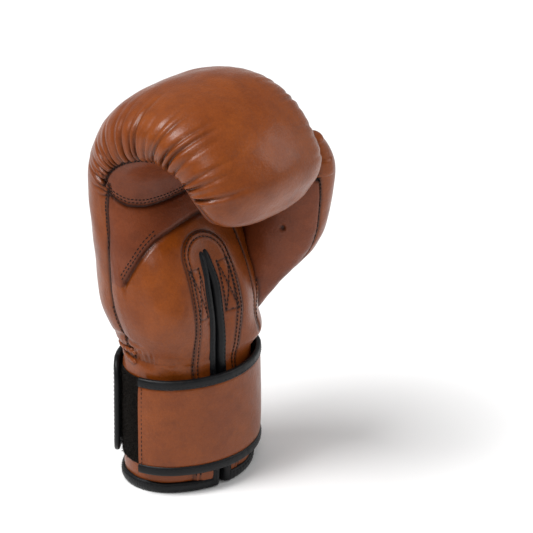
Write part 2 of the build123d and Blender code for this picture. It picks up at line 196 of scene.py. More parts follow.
def make_object(name, points, faces, normals=None, attributes=None):
    """A mesh object from points in millimetres, keeping only the points that its faces use."""
    used = sorted({i for face in faces for i in face})
    number = {old: new for new, old in enumerate(used)}
    points = np.asarray(points, float)[used]
    mesh = bpy.data.meshes.new(name)
    mesh.from_pydata((points * MM).tolist(), [], [[number[i] for i in face] for face in faces])
    mesh.shade_smooth()
    for key, values in (attributes or {}).items():
        layer = mesh.attributes.new(key, "FLOAT", "POINT")
        layer.data.foreach_set("value", np.asarray(values, np.float32)[used])
    mesh.validate()
    if normals is not None:
        mesh.normals_split_custom_set_from_vertices(np.asarray(normals)[used].tolist())
    return linked(name, mesh)


def grid_faces(rows, columns, wrap=False):
    faces = []
    for i in range(rows - 1):
        for j in range(columns if wrap else columns - 1):
            k = (j + 1) % columns
            faces.append((i * columns + j, i * columns + k, (i + 1) * columns + k, (i + 1) * columns + j))
    return faces


def tube(name, rings):
    """A tube with flat ends through rings of points (n, m, 3), each ring closed."""
    rings = np.asarray(rings, float)
    count, around = rings.shape[:2]
    faces = grid_faces(count, around, wrap=True)
    points = np.concatenate([rings.reshape(-1, 3), rings[0], rings[-1]])
    faces.append(tuple(count * around + j for j in range(around - 1, -1, -1)))
    faces.append(tuple((count + 1) * around + j for j in range(around)))
    return make_object(name, points, faces)


def snapped(u, v, field):
    """The grid's (u, v) with the vertices next to the line field = 0 moved onto it."""
    values = field(u, v)
    new_u, new_v = u.copy(), v.copy()
    for axis in (0, 1):
        here = [slice(None), slice(None)]
        there = [slice(None), slice(None)]
        here[axis], there[axis] = slice(None, -1), slice(1, None)
        here, there = tuple(here), tuple(there)
        a, b = values[here], values[there]
        cross = (a * b) < 0
        t = np.where(cross, a / np.where(cross, a - b, 1), 0)
        u_at, v_at = u[here] + t * (u[there] - u[here]), v[here] + t * (v[there] - v[here])
        for side, choose in ((here, cross & (t < 0.5)), (there, cross & (t >= 0.5))):
            target_u, target_v = new_u[side], new_v[side]
            target_u[choose] = u_at[choose]
            target_v[choose] = v_at[choose]
    return new_u, new_v


# ---- the hand's leather ----
SQUARE = 2.25  # how square the sections are: 2 is an ellipse
CROOK_U = 3.65
CROOK_V = [188, 198, 215, 235, 265, 300, 345]
CROOK_LINE = [3.45, 3.32, 3.22, 3.22, 3.35, 3.55, 3.65]
SEAM_U = [-1, -0.06, 0.05, 0.3, 1.4, 2.5, 3.65]
SEAM_V = [194, 183, 169, 168, 170, 183, 194]
GUSSET_U = [-1, 0, 0.8, 1.6, 2.4, 3.65]
GUSSET_V = [299.6, 299.6, 299, 299, 298, 296]
GUSSET_FAR_V = [299.7, 299.8, 303, 311, 316, 318]
HEEL_V = [185, 195, 206, 213, 220, 230, 240, 255, 270, 300, 318]
HEEL_U = [1.58, 1.82, 2.06, 2.2, 2.32, 2.46, 2.56, 2.67, 2.75, 2.78, 2.7]
LENS = np.array([
    (-26, 200), (-24.5, 211), (-18, 225), (-7, 234), (4, 238.5), (17, 239), (30, 237), (44, 233), (56, 222),
    (64, 206), (67, 190), (66, 172), (40, 168), (10, 180),
], float)  # side outline (palm, z) of the finger's inner panel
CUFF_SEAM, CUFF_THUMB_SEAM = 181, 299.6  # angles of the cuff's two seams, in degrees
PATCH_SQUARE_TOP = 160.0
PATCH_ARCH = 17.0
PATCH_ROWS = (1.6, 4.2)
BOX_NEAR, BOX_FAR, BOX_LOW, BOX_HIGH = 8.4, 16.2, 124.0, 156.0
BOX_LINES = ((0, 1), (1, 2), (2, 3), (3, 0), (0, 2), (1, 3))


def seam_field(u, v):
    return v - np.interp(u, SEAM_U, SEAM_V)


def gusset_field(u, v):
    return np.interp(u, GUSSET_U, GUSSET_V) - v


def gusset_far_field(u, v):
    return np.interp(u, GUSSET_U, GUSSET_FAR_V) - v


def crook_field(u, v):
    return (u - np.interp(v, CROOK_V, CROOK_LINE)) * 20


def heel_field(u, v):
    return (u - np.interp(v, HEEL_V, HEEL_U)) * 35


def outline_distance(points, outline):
    """Signed distance from (n, 2) points to a closed outline, positive inside."""
    flat = points.reshape(-1, 2)
    nearest = np.full(len(flat), 1e9)
    inside = np.zeros(len(flat), bool)
    for a, b in zip(outline, np.roll(outline, -1, axis=0)):
        edge = b - a
        t = np.clip(((flat - a) @ edge) / (edge @ edge), 0, 1)
        nearest = np.minimum(nearest, np.linalg.norm(flat - a - t[:, None] * edge, axis=1))
        crosses = (a[1] > flat[:, 1]) != (b[1] > flat[:, 1])
        x_at = a[0] + (flat[:, 1] - a[1]) * edge[0] / (edge[1] if edge[1] else 1e-9)
        inside ^= crosses & (flat[:, 0] < x_at)
    return np.where(inside, nearest, -nearest).reshape(points.shape[:-1])


def rounded_outline(corners):
    """A closed smooth outline through corners, with six points to each."""
    count = len(corners)
    t = np.arange(count * 6) / 6
    i = t.astype(int)
    f = (t - i)[:, None]
    a, b, c, d = (corners[(i + k) % count] for k in (-1, 0, 1, 2))
    return b + 0.5 * f * ((c - a) + f * (2 * a - 5 * b + 4 * c - d + f * (3 * (b - c) + d - a)))


LENS_OUTLINE = rounded_outline(LENS)


def lens_field(u, v):
    place = curl(HAND, u, v, 0, SQUARE)
    return outline_distance(np.stack([-place[..., 1], place[..., 2]], -1), LENS_OUTLINE)


def patch_shape(at_z):
    """The x of the patch's centre line, and its half width, at a height."""
    return np.interp(at_z, [90, 160], [-9.0, -6.5]), np.interp(at_z, [90, 125, 160], [18.5, 20.5, 19.5])


def box_lines(side):
    """The ends (x, z) of the lines of the crossed box of stitching on one side of the slit."""
    near, far = SLIT_X + side * BOX_NEAR, SLIT_X + side * BOX_FAR
    box = [(near, BOX_LOW), (far, BOX_LOW), (far, BOX_HIGH), (near, BOX_HIGH)]
    return [(np.array(box[a]), np.array(box[b])) for a, b in BOX_LINES]


def patch_inside(place):
    """How far a place on the palm is inside the outline of the patch round the slit."""
    x, z = place[..., 0], place[..., 2]
    centre, half = patch_shape(z)
    above = np.maximum(z - PATCH_SQUARE_TOP, 0) / PATCH_ARCH
    return half * (1 - np.sqrt(((x - centre) / half) ** 2 + above**2))


def over_palm(u, v, high_u):
    return (v > 200) & (v < 340) & (u < high_u)


def in_slit(at_x, at_z):
    return (np.abs(at_x - SLIT_X) < SLIT_CUT) & (at_z < SLIT_TOP - 1)


def patch_field(u, v):
    place = curl(HAND, u, v, 0, SQUARE)
    return np.where(over_palm(u, v, 3.4), patch_inside(place), -30)


CUFF_ROWS, HAND_ROWS, COLUMNS = 70, 400, 430
PLEATED_ROWS = int(HAND_ROWS * 1.05)
row_u = np.concatenate([
    np.linspace(-1, 0, CUFF_ROWS, endpoint=False), np.linspace(0, 3.4, HAND_ROWS // 3, endpoint=False),
    np.linspace(3.4, 8, PLEATED_ROWS, endpoint=False), np.linspace(8, 10, HAND_ROWS // 6)])
u, v = np.meshgrid(row_u, np.linspace(90, 450, COLUMNS + 1), indexing="ij")
ROWS = len(row_u)


def front_only(field, low_u, high_u, low_v=150, high_v=345):
    def limited(u, v):
        use = (u >= low_u) & (u <= high_u) & (v > low_v) & (v < high_v)
        return np.where(use, field(u, v), 50)
    return limited


for limited in (
    front_only(seam_field, 0.0, CROOK_U), front_only(gusset_field, -1, CROOK_U, 250),
    front_only(gusset_far_field, 0.3, CROOK_U, 250), front_only(heel_field, 1.2, 3.4, 180, 330),
    front_only(crook_field, 2.9, 4.3, 186, 345), front_only(lens_field, 3.1, 10, 100, 440),
    front_only(patch_field, -1, 3.3),
):
    moved_u, moved_v = snapped(u, v, limited)
    far = (np.abs(moved_u - u) > 0.3) | (np.abs(moved_v - v) > 6)
    u, v = np.where(far, u, moved_u), np.where(far, v, moved_v)
u[:, 0], u[:, -1] = row_u, row_u
v[:, 0], v[:, -1] = 90, 450

base = curl(HAND, u, v, 0, SQUARE)
out = facing(normals_of(base), (ROWS // 2, 0), (0, 1.0, 0.2))
x, palm, z = base[..., 0], -base[..., 1], base[..., 2]
on_hand = smooth(u, 0, 0.3)
fields = {
    "seam": seam_field(u, v), "gusset": gusset_field(u, v), "gusset_far": gusset_far_field(u, v),
    "crook": crook_field(u, v), "heel": heel_field(u, v), "lens": lens_field(u, v), "patch": patch_field(u, v),
}
off = {key: distance_to_zero(value, base) for key, value in fields.items()}
palm_side = window(v, 196, 215, 322, 340)

height = 0.6 * ripple(base, 60, 1.0) * on_hand + 0.18 * ripple(base, 24, 4.0) * on_hand
# The palm dips to the slit between two crowned heel pads.
valley_depth = np.interp(z, [50, 85, 112, 130, 150, 164, 182], [0, 1.5, 3.5, 4.5, 4, 3, 0])
valley = valley_depth * bell(x - SLIT_X, 12.0) * palm_side * (u < 3.3)
height = height - valley
hollow = np.interp(z, [60, 85, 100, 118, 133, 150], [0, 3.5, 5, 6, 3, 0])
height -= hollow * bell(x + 12, 27) * palm_side * (u < 3)
height += 3.5 * np.exp(-(((x + 41) / 13) ** 2) - (((z - 132) / 27) ** 2)) * palm_side * (u < 3)
height += 3.0 * np.exp(-(((x - 15) / 10) ** 2) - (((z - 126) / 26) ** 2)) * palm_side * (u < 3)
# Creases and seams press into the padding.
in_seam = smooth(u, -0.02, 0.1) * (1 - smooth(fields["crook"], 0, 1))
heel_zone = window(v, 184, 188, 300, 318) * smooth(u, 1.3, 1.5)
heel_line = bell(off["heel"], 1.7) * heel_zone
height -= 2.2 * heel_line + 1.2 * bell(off["heel"], 8) * heel_zone
crook_zone = window(v, 190, 198, 340, 350) * (fields["lens"] > -6)
crook_line = bell(off["crook"], 1.4) * crook_zone
height -= 1.6 * crook_line + 1.0 * bell(off["crook"], 5) * crook_zone
seam_line = bell(off["seam"], 1.1) * in_seam
height -= 1.1 * seam_line + 1.3 * bell(off["seam"], 6) * in_seam
gusset_zone = window(u, 0.25, 0.4, 3.3, 3.6)
gusset_line = (bell(off["gusset"], 1.0) + bell(off["gusset_far"], 1.0)) * gusset_zone
gusset_line = np.minimum(gusset_line, 1)
height -= 1.2 * gusset_line
lens_zone = smooth(fields["crook"], -1, 2) * (u > 3)
lens_line = bell(off["lens"], 1.1) * lens_zone
height -= 1.4 * lens_line + 1.2 * bell(off["lens"], 5) * lens_zone
# The finger leather is gathered into pleats along the panel's edge.
PLEAT_COUNT, PLEAT_FIRST, PLEAT_STEP = 23, 20, 7.6  # angles in degrees round the middle
PLEAT_PALM, PLEAT_Z = 6.0, 210.0
turn = np.degrees(np.arctan2(z - PLEAT_Z, palm - PLEAT_PALM))
turn = np.where(turn < -90, turn + 360, turn)
radius = np.hypot(z - PLEAT_Z, palm - PLEAT_PALM)
outside = np.maximum(-fields["lens"], 0)
side_of = smooth(np.abs(x), 20, 44)
pleats = np.zeros_like(x)
ridges = np.zeros_like(x)
for i in range(PLEAT_COUNT):
    middle = PLEAT_FIRST + PLEAT_STEP * i + 1.9 * math.sin(2.3 * i)
    length = 12 + 19 * math.exp(-(((middle - 66) / 44) ** 2)) + 5 * math.sin(3.7 * i)
    strength = 0.8 + 0.35 * math.sin(5.1 * i + 1)
    bend = 3.0 * np.sin(radius / 15 + i)
    sideways = np.radians(turn - middle - bend * 0.5) * radius
    fade = np.exp(-((outside / length) ** 1.8))
    width = 0.82 + 0.026 * outside
    pleats += strength * fade * bell(sideways, width)
    ridges += strength * fade * bell(np.abs(sideways) - 2.3 * width, 1.3 * width)
pleat_zone = (fields["lens"] < 0) * lens_zone * side_of * np.where(x < 0, 1.0, 0.65)
pleats = np.minimum(pleats, 1.2) * pleat_zone * smooth(outside, 0.0, 1.0)
height += -2.4 * pleats + 1.2 * np.minimum(ridges, 1.2) * pleat_zone
# Small folds run from the panel's lower corner round the little-finger side.
CORNER_FOLDS = ((3.30, 0.5, 14), (3.38, 0.2, 22), (3.46, -0.1, 26), (3.54, -0.5, 20), (3.62, -0.9, 15))
corner_folds = np.zeros_like(x)
for i, (at, tilt, length) in enumerate(CORNER_FOLDS):
    back_of = np.maximum(195 - v, 0)
    fold_u = at - tilt * back_of / 100 + 0.012 * np.sin(back_of / 2.5 + 2 * i)
    fade = np.exp(-((back_of / length) ** 3)) * smooth(v, 150, 160) * (1 - smooth(v, 194, 199))
    corner_folds += fade * bell(u - fold_u, 0.022)
height -= 1.3 * np.minimum(corner_folds, 1)
# Rows of stitches pull the patch down along narrow grooves.
on_patch = (fields["patch"] > 0) & (u < 3.3)
grooves = sum(bell(fields["patch"] - inset, 0.75) for inset in PATCH_ROWS)
for side in (-1, 1):
    for start, end in box_lines(side):
        way = end - start
        t = np.clip(((x - start[0]) * way[0] + (z - start[1]) * way[1]) / (way @ way), 0, 1)
        away = np.hypot(x - start[0] - t * way[0], z - start[1] - t * way[1])
        grooves = grooves + bell(away, 0.7)
grooves = np.minimum(grooves, 1) * on_patch
height -= 0.55 * grooves
# Folds where the fist meets the cuff.
neck = bell(z - 94, 5) * (1 - palm_side) * (u > -0.4)
height -= 1.6 * neck
height += 1.2 * bell(z - 95, 7) * smooth(v, 225, 245) * (1 - smooth(v, 372, 392))
height += 5.5 * bell(z - 99, 9) * smooth(z, 84, 91) * smooth(v, 275, 305) * (1 - smooth(v, 372, 392))
folds = bell(z - 99 - 1.6 * np.sin(v / 9), 1.5) + bell(z - 106 + np.sin(v / 7), 1.9)
height -= 1.3 * folds * smooth(v, 120, 150) * (1 - smooth(v, 182, 196)) * on_hand
height += 0.35 * np.sin(np.radians(v) * 46 + np.sin(v / 11)) * bell(z - 97, 4.5) * (1 - palm_side)
# The cuff is slightly quilted, and drawn in a little at the hem.
height += (0.5 * ripple(base, 26, 2.0) - 0.6 * bell(z - HEM_HEIGHT, 2.5)) * (u < 0)

skin = base + out * height[..., None]
shade = facing(normals_of(skin), (ROWS // 2, 0), out[ROWS // 2, 0])
shade[:, 0] = shade[:, -1] = (shade[:, 0] + shade[:, -1]) / 2
# Painted shade: the values summed below darken the leather's colour where shade falls. That is in the pleats,
# the seam, gusset, crook, lens and heel grooves, the palm valley, the neck folds, the corner folds and the
# stitch grooves, along the patch's raised edge, and in a broad band beside each seam.
zones = {"seam": in_seam, "lens": lens_zone, "crook": crook_zone, "heel": heel_zone, "gusset": gusset_zone}
edge_shade = sum(bell(off[key], 6) * zone for key, zone in zones.items())
patch_edge_shade = bell(off["patch"], 0.8) * over_palm(u, v, 3.3)
painted_crease_shade = np.clip(
    pleats + seam_line + 0.9 * gusset_line + lens_line + 0.8 * crook_line
    + 0.6 * heel_line + 0.2 * valley / 5 + 0.3 * neck + 0.16 * np.minimum(edge_shade, 1.3)
    + 0.8 * corner_folds + 0.75 * grooves + 0.8 * patch_edge_shade, 0, 1)
flat_skin, flat_shade, flat_painted_shade = skin.reshape(-1, 3), shade.reshape(-1, 3), painted_crease_shade.reshape(-1)

# Faces, cut along the seams.
index = np.arange(ROWS * (COLUMNS + 1)).reshape(ROWS, COLUMNS + 1)
corners = np.stack([index[:-1, :-1], index[:-1, 1:], index[1:, 1:], index[1:, :-1]], -1).reshape(-1, 4)
flat = {key: value.reshape(-1) for key, value in fields.items()}
flat_u, flat_v, flat_x, flat_z = (values.reshape(-1) for values in (u, v, base[..., 0], base[..., 2]))
split_odd = np.zeros(len(corners), bool)
split_even = np.zeros(len(corners), bool)
for key in ("seam", "gusset", "gusset_far", "heel", "crook", "lens", "patch"):
    value = flat[key][corners]
    value = np.where(np.abs(value) < 1e-3, 0, value)
    split_odd |= (value[:, 0] * value[:, 2] < 0)
    split_even |= (value[:, 1] * value[:, 3] < 0)
quads = corners[~split_odd & ~split_even]
odd, even = corners[split_odd], corners[split_even & ~split_odd]
triangles = np.concatenate([odd[:, [0, 1, 3]], odd[:, [1, 2, 3]], even[:, [0, 1, 2]], even[:, [0, 2, 3]]])


def where_of(values, faces):
    return values[faces].mean(axis=1)


def label_of(faces):
    """Which piece of leather each face belongs to."""
    fu, fv, fx, fz = (where_of(values, faces) for values in (flat_u, flat_v, flat_x, flat_z))
    mean = {key: where_of(values, faces) for key, values in flat.items()}
    label = np.full(len(faces), "main_shell", object)
    in_front = (np.where(fu < 0, fv - CUFF_SEAM, mean["seam"]) > 0) & (mean["gusset"] > 0) & (mean["crook"] < 0)
    ulnar, low = fx < SLIT_X, (mean["heel"] < 0) | (fu < 1.3)
    label[fu < 0] = "back_cuff_leather"
    label[in_front & low & ulnar] = "ulnar_heel_leather"
    label[in_front & low & ~ulnar] = "radial_heel_leather"
    label[in_front & ~low] = "upper_palm_panel"
    gusset = (mean["gusset"] <= 0) & (mean["gusset_far"] > 0) & (fu > 0.35) & (mean["crook"] < 0)
    label[gusset] = "thumb_side_gusset"
    label[(mean["crook"] >= 0) & (fu > 3) & (mean["lens"] > 0)] = "finger_inner_panel"
    label[in_slit(fx, fz) & (fv > 220) & (fv < 320) & (fu < 3)] = ""
    return label


face_sets = [(quads, label_of(quads)), (triangles, label_of(triangles))]
pieces = {}
for name in ("main_shell", "back_cuff_leather", "ulnar_heel_leather", "radial_heel_leather",
             "upper_palm_panel", "thumb_side_gusset", "finger_inner_panel"):
    faces = [tuple(face) for group, label in face_sets for face in group[label == name].tolist()]
    if name == "main_shell":
        faces.append(tuple(index[-1, :-1].tolist()))
    pieces[name] = make_object(name, flat_skin, faces, flat_shade, {"painted_crease_shade": flat_painted_shade})
skin_tree = BVHTree.FromPolygons(flat_skin.tolist(), corners.tolist())


def on_skin(point):
    """The nearest place on the hand's leather, and the way out of it there."""
    place, normal, _, _ = skin_tree.find_nearest(Vector(point))
    if normal.dot(Vector(point) - place) < 0 and (Vector(point) - place).length > 0.4:
        normal = -normal
    i = int(np.argmin(((flat_skin[::7] - np.array(place)) ** 2).sum(1))) * 7
    way = np.array(normal)
    if way @ flat_shade[i] < 0:
        way = -way
    return np.array(place), way


# The patch stitched round the slit lies on the heel leather.
rise = 1.15 * smooth(fields["patch"], 0, 1.3) + 0.02
patch_grid = skin + shade * rise[..., None]
patch_skin = patch_grid.reshape(-1, 3)
patch_shade = facing(normals_of(patch_grid), (60, COLUMNS // 2), shade[60, COLUMNS // 2]).reshape(-1, 3)
for name in ("ulnar_slit_patch", "radial_slit_patch", "slit_top_patch"):
    faces = []
    for group, _ in face_sets:
        fx, fz, fp, fu, fv = (where_of(a, group) for a in (flat_x, flat_z, flat["patch"], flat_u, flat_v))
        use = (fp > 0) & ~in_slit(fx, fz) & over_palm(fu, fv, 3.3)
        top = fz > SLIT_TOP
        side = {"ulnar_slit_patch": ~top & (fx < SLIT_X), "radial_slit_patch": ~top & (fx >= SLIT_X),
                "slit_top_patch": top}[name]
        faces += [tuple(face) for face in group[use & side].tolist()]
    pieces[name] = make_object(name, patch_skin, faces, patch_shade, {"painted_crease_shade": flat_painted_shade})
patch_tree = BVHTree.FromPolygons(patch_skin.tolist(), corners.tolist())


def palm_point(px, pz, tree=patch_tree):
    """The outermost place of the palm at x, z, and the way out of it there."""
    hit, normal, _, _ = tree.ray_cast(Vector((px, -140, pz)), Vector((0, 1, 0)))
    normal = np.array(normal)
    return np.array(hit), (normal if normal[1] < 0 else -normal)


def side_point(pp, pz, side):
    """The outermost place of the ulnar (-1) or radial (1) side at palm, z."""
    hit, normal, _, _ = skin_tree.ray_cast(Vector((140 * side, -pp, pz)), Vector((-side, 0, 0)))
    normal = np.array(normal)
    return np.array(hit), (normal if normal[0] * side > 0 else -normal)


# ---- stitches ----
def even_steps(line, step):
    """Points every step along a line of (place, way out) pairs."""
    places, ways = np.array([a for a, _ in line]), np.array([b for _, b in line])
    length = np.concatenate([[0], np.cumsum(np.linalg.norm(np.diff(places, axis=0), axis=1))])
    count = max(int(length[-1] / step), 2)
    at = np.linspace(0, length[-1], count)
    places = np.stack([np.interp(at, length, places[:, k]) for k in range(3)], -1)
    ways = np.stack([np.interp(at, length, ways[:, k]) for k in range(3)], -1)
    return places, ways / np.linalg.norm(ways, axis=1, keepdims=True)


STITCH_LENGTH, STITCH_LIFT = 2.2, 0.12


def is_black(name):
    """Whether a line of stitching is in black thread and not in dark brown."""
    return "binding" in name or "hem" in name or "strap" in name


def stitched(name, lines, pitch, thick):
    """Separate sewn stitches along lines of (place, way out) pairs, as one mesh."""
    points, faces = [], []
    around, steps = 8, (-1.0, -0.8, -0.35, 0.35, 0.8, 1.0)
    swell = (0.25, 0.75, 1.0, 1.0, 0.75, 0.25)
    for line in lines:
        places, ways = even_steps(line, pitch)
        tangents = np.gradient(places, axis=0)
        for place, way, tangent in zip(places, ways, tangents):
            tangent = tangent / max(np.linalg.norm(tangent), 1e-9)
            across = np.cross(way, tangent)
            start = len(points)
            for step, size in zip(steps, swell):
                middle = place + tangent * step * STITCH_LENGTH / 2 + way * (STITCH_LIFT - 0.22 * step**2)
                for k in range(around):
                    angle = 2 * math.pi * k / around
                    swing = across * math.cos(angle) * thick + way * math.sin(angle) * thick * 0.8
                    points.append(middle + swing * size / 2)
            count = len(steps)
            faces += [tuple(start + i for i in face) for face in grid_faces(count, around, wrap=True)]
            faces.append(tuple(start + k for k in range(around - 1, -1, -1)))
            faces.append(tuple(start + (count - 1) * around + k for k in range(around)))
    return make_object(name, points, faces)


# ---- binding folded over each edge of the slit ----
BEAD_OFFSET, BEAD_HALF_WIDTH, BEAD_HALF_DEPTH, BEAD_PROUD = 3.9, 3.5, 5.5, 2.6


def bead(side):
    """The rounded folded binding on one edge of the slit, and the line of its stitches."""
    rings, line = [], []
    heights = np.linspace(0.6, SLIT_TOP + 3.5, 200)
    surface = []
    for height_at in heights:
        place, _ = palm_point(SLIT_X + side * 6.0, max(height_at, HEM_HEIGHT + 1), skin_tree)
        surface.append(place[1])
    surface = np.convolve(np.pad(surface, 12, mode="edge"), np.ones(25) / 25, mode="valid")
    for height_at, y_at in zip(heights, surface):
        from_top = SLIT_TOP + 3.5 - height_at
        size = math.sqrt(max(1 - max(1 - from_top / 9.0, 0) ** 2, 0.02))
        size *= math.sqrt(max(1 - max(1 - (height_at - 0.4) / 1.6, 0) ** 2, 0.15))
        middle_x = SLIT_X + side * (BEAD_OFFSET - 1.9 * smooth(height_at, SLIT_TOP - 22, SLIT_TOP)
                                 + 1.6 * (1 - smooth(height_at, 0, 40)))
        middle_x += 0.12 * math.sin(height_at / 5.5 + side)
        middle_y = y_at + BEAD_HALF_DEPTH - BEAD_PROUD
        ring = []
        for k in range(20):
            angle = 2 * math.pi * k / 20
            ring.append((middle_x + BEAD_HALF_WIDTH * size * power(math.cos(angle), 0.8),
                         middle_y - BEAD_HALF_DEPTH * size * power(math.sin(angle), 0.75), height_at))
        rings.append(ring)
        if 4 < height_at < SLIT_TOP - 3:
            line.append((np.array([middle_x + side * 0.9, middle_y - BEAD_HALF_DEPTH * 0.985, height_at]),
                         np.array([side * 0.15, -0.98, 0.05])))
    return rings, line


stitch_lines = {}
for side, name in ((-1, "ulnar"), (1, "radial")):
    rings, line = bead(side)
    pieces[f"{name}_slit_binding"] = tube(f"{name}_slit_binding", rings)
    stitch_lines[f"{name}_binding_stitching"] = [line]


# ---- hem ----
HEM_PROFILE = [
    (0.2, 7.0), (1.3, 6.4), (1.75, 4.6), (1.6, 2.4), (0.8, 0.9), (-1.2, 0.1), (-4.2, 0.0), (-7.2, 0.1),
    (-9.0, 0.9), (-9.7, 3.0), (-9.5, 6.2), (-8.4, 7.0), (-4.0, 7.2),
]  # (outward from the cuff's outline, z)


def hem_wave(degrees):
    return 0.5 + 0.5 * math.sin(math.radians(degrees) * 7 + 0.6) * math.sin(math.radians(degrees) * 3)


def hem(name, start, end):
    rings = []
    for degrees in np.linspace(start, end, max(int(abs(end - start)), 8)):
        wave = hem_wave(degrees)
        pucker = 0.12 * math.sin(math.radians(degrees) * 95)
        rings.append([oval_point(degrees, grow + pucker, at + wave * 0.9 * smooth(at, 0, 9))
                      for grow, at in HEM_PROFILE])
    return tube(name, rings)


HEM_SPANS = {"ulnar": (181.0, 257.3), "radial": (268.6, 299.4), "back": (299.9, 540.7)}  # in degrees
for name, (start, end) in HEM_SPANS.items():
    pieces[f"{name}_hem_binding"] = hem(f"{name}_hem_binding", start, end)
    stitch_lines[f"{name}_hem_stitching"] = [[
        (oval_point(degrees, 1.75, 5.4 + hem_wave(degrees) * 0.8), out_of_oval(degrees))
        for degrees in np.linspace(start + 1, end - 1, 200)]]

# ---- neck piping, on the back ----
PIPING_LOW, PIPING_HIGH = 90.4, 97.0
PIPING_FROM, PIPING_TO = 2, 176  # in degrees
rings_low, rings_high = [], []
for degrees in np.linspace(PIPING_FROM, PIPING_TO, 170):
    on_v = int(np.argmin(np.abs(v[0] - (degrees + (360 if degrees < 90 else 0)))))
    for rings, at in ((rings_low, PIPING_LOW), (rings_high, PIPING_HIGH)):
        row = int(np.argmin(np.abs(skin[:, on_v, 2] - at)[: CUFF_ROWS + HAND_ROWS // 4]))
        centre, way = skin[row, on_v], shade[row, on_v].copy()
        way[2] = 0
        way /= np.linalg.norm(way)
        end_size = math.sqrt(smooth(min(degrees - PIPING_FROM, PIPING_TO - degrees), -0.5, 3))
        rings.append([
            centre + (way * math.cos(a) * 1.5 + np.array([0, 0, 1.0]) * math.sin(a) * 1.9) * max(end_size, 0.2)
            + way * 0.3 for a in np.linspace(0, 2 * math.pi, 12, endpoint=False)
        ])
pieces["neck_piping"] = tube("neck_piping", rings_low)
pieces["neck_piping_upper"] = tube("neck_piping_upper", rings_high)

# ---- strap ----
MIDDLE_Z = (STRAP_LOW + STRAP_HIGH) / 2
STRAP_HALF = (STRAP_HIGH - STRAP_LOW) / 2
TIP_RADIUS = 15.0
SEWN_END = 2.5  # how far along the strap the stitches are that hold it to the cuff
STRAP_FROM, STRAP_TO = 188.0, 503.5  # in degrees
turn_table = np.linspace(STRAP_FROM, STRAP_TO, 2000)
table_x, table_y = oval(turn_table, 5.0)
arc_table = np.concatenate([[0], np.cumsum(np.hypot(np.diff(table_x), np.diff(table_y)))])
STRAP_END = float(arc_table[-1])
STRAP_CUTS = {"palm": (STRAP_FROM, 270.0), "side": (270.0, 405.0), "tip": (405.0, STRAP_TO)}


def angle_of(along):
    return float(np.interp(along, arc_table, turn_table))


def on_strap(along, at, grow):
    return oval_point(angle_of(along), grow, at)


def arc_of(degrees):
    return float(np.interp(degrees, turn_table, arc_table))


def outline_half(along, inset):
    """Half height of the strap's outline, inset, with the rounded corners of its tip."""
    radius = TIP_RADIUS - inset
    past = along - (STRAP_END - TIP_RADIUS)
    if past <= 0:
        return STRAP_HALF - inset
    return STRAP_HALF - TIP_RADIUS + math.sqrt(max(radius**2 - min(past, radius) ** 2, 0))


def strap_sheet(name, start, end, inset, low, high, dome):
    stop = min(arc_of(end), STRAP_END - inset)
    rings = []
    alongs = np.linspace(arc_of(start), stop, max(int((stop - arc_of(start)) / 1.4), 10))
    if end == STRAP_TO:
        rounded_end = stop - 3 + 3 * np.sin(np.linspace(0, math.pi / 2, 12))
        alongs = np.concatenate([alongs[alongs < stop - 3], rounded_end])
    for along in alongs:
        half = outline_half(along, inset)
        ring = []
        for t in np.linspace(-1, 1, 26):
            swell = dome * (1 - abs(t) ** 5) - dome * 0.6 * abs(t) ** 14
            ripple_at = 0.22 * math.sin(along / 13 + 2 * t) * (1 - t * t) if dome else 0
            ring.append(on_strap(along, MIDDLE_Z + half * t, high + swell + ripple_at))
        for t in np.linspace(1, -1, 8):
            ring.append(on_strap(along, MIDDLE_Z + half * t, low))
        rings.append(ring)
    return tube(name, rings)


def strap_path(start, end, inset):
    """Points (along, z) and inward directions round a stretch of the strap's edge."""
    a, b = arc_of(start), arc_of(end)
    if end < STRAP_TO:
        alongs = np.linspace(a, b, int((b - a) / 1.2))
        return [[(s, MIDDLE_Z + side * (STRAP_HALF - inset), 0, -side) for s in alongs] for side in (1, -1)]
    corner = STRAP_END - TIP_RADIUS
    radius = TIP_RADIUS - inset
    path = [(s, MIDDLE_Z + STRAP_HALF - inset, 0, -1) for s in np.linspace(a, corner, int((corner - a) / 1.2))]
    for side in (1, -1):
        angles = np.linspace(90, 0, 14) if side > 0 else np.linspace(0, 90, 14)
        for angle in np.radians(angles):
            path.append((corner + radius * math.cos(angle),
                         MIDDLE_Z + side * (STRAP_HALF - TIP_RADIUS + radius * math.sin(angle)),
                         -math.cos(angle), -side * math.sin(angle)))
        if side > 0:
            straight = STRAP_HALF - TIP_RADIUS
            downward = np.linspace(MIDDLE_Z + straight, MIDDLE_Z - straight, 30)[1:-1]
            path += [(STRAP_END - inset, at, -1, 0) for at in downward]
    path += [(s, MIDDLE_Z - STRAP_HALF + inset, 0, 1) for s in np.linspace(corner, a, int((corner - a) / 1.2))]
    return [path]


def strap_binding(name, start, end):
    points, faces = [], []
    for path in strap_path(start, end, STRAP_BINDING / 2):
        rings = []
        for number, (along, at, inward_s, inward_z) in enumerate(path):
            pucker = 1 + 0.025 * math.sin(number * 1.1)
            ring = []
            for k in range(16):
                angle = 2 * math.pi * k / 16
                side_by = (STRAP_BINDING / 2 + 0.1) * power(math.cos(angle), 0.75)
                lift = 4.65 + 2.05 * pucker * power(math.sin(angle), 0.7)
                ring.append(on_strap(along + inward_s * side_by, at + inward_z * side_by, lift))
            rings.append(ring)
        first = len(points)
        for ring in rings:
            points.extend(ring)
        around = 16
        faces += [tuple(first + i for i in face) for face in grid_faces(len(rings), around, wrap=True)]
        for ring, order in ((rings[0], 1), (rings[-1], -1)):
            faces.append(tuple(len(points) + k for k in range(around))[::order])
            points.extend(ring)
    return make_object(name, points, faces)


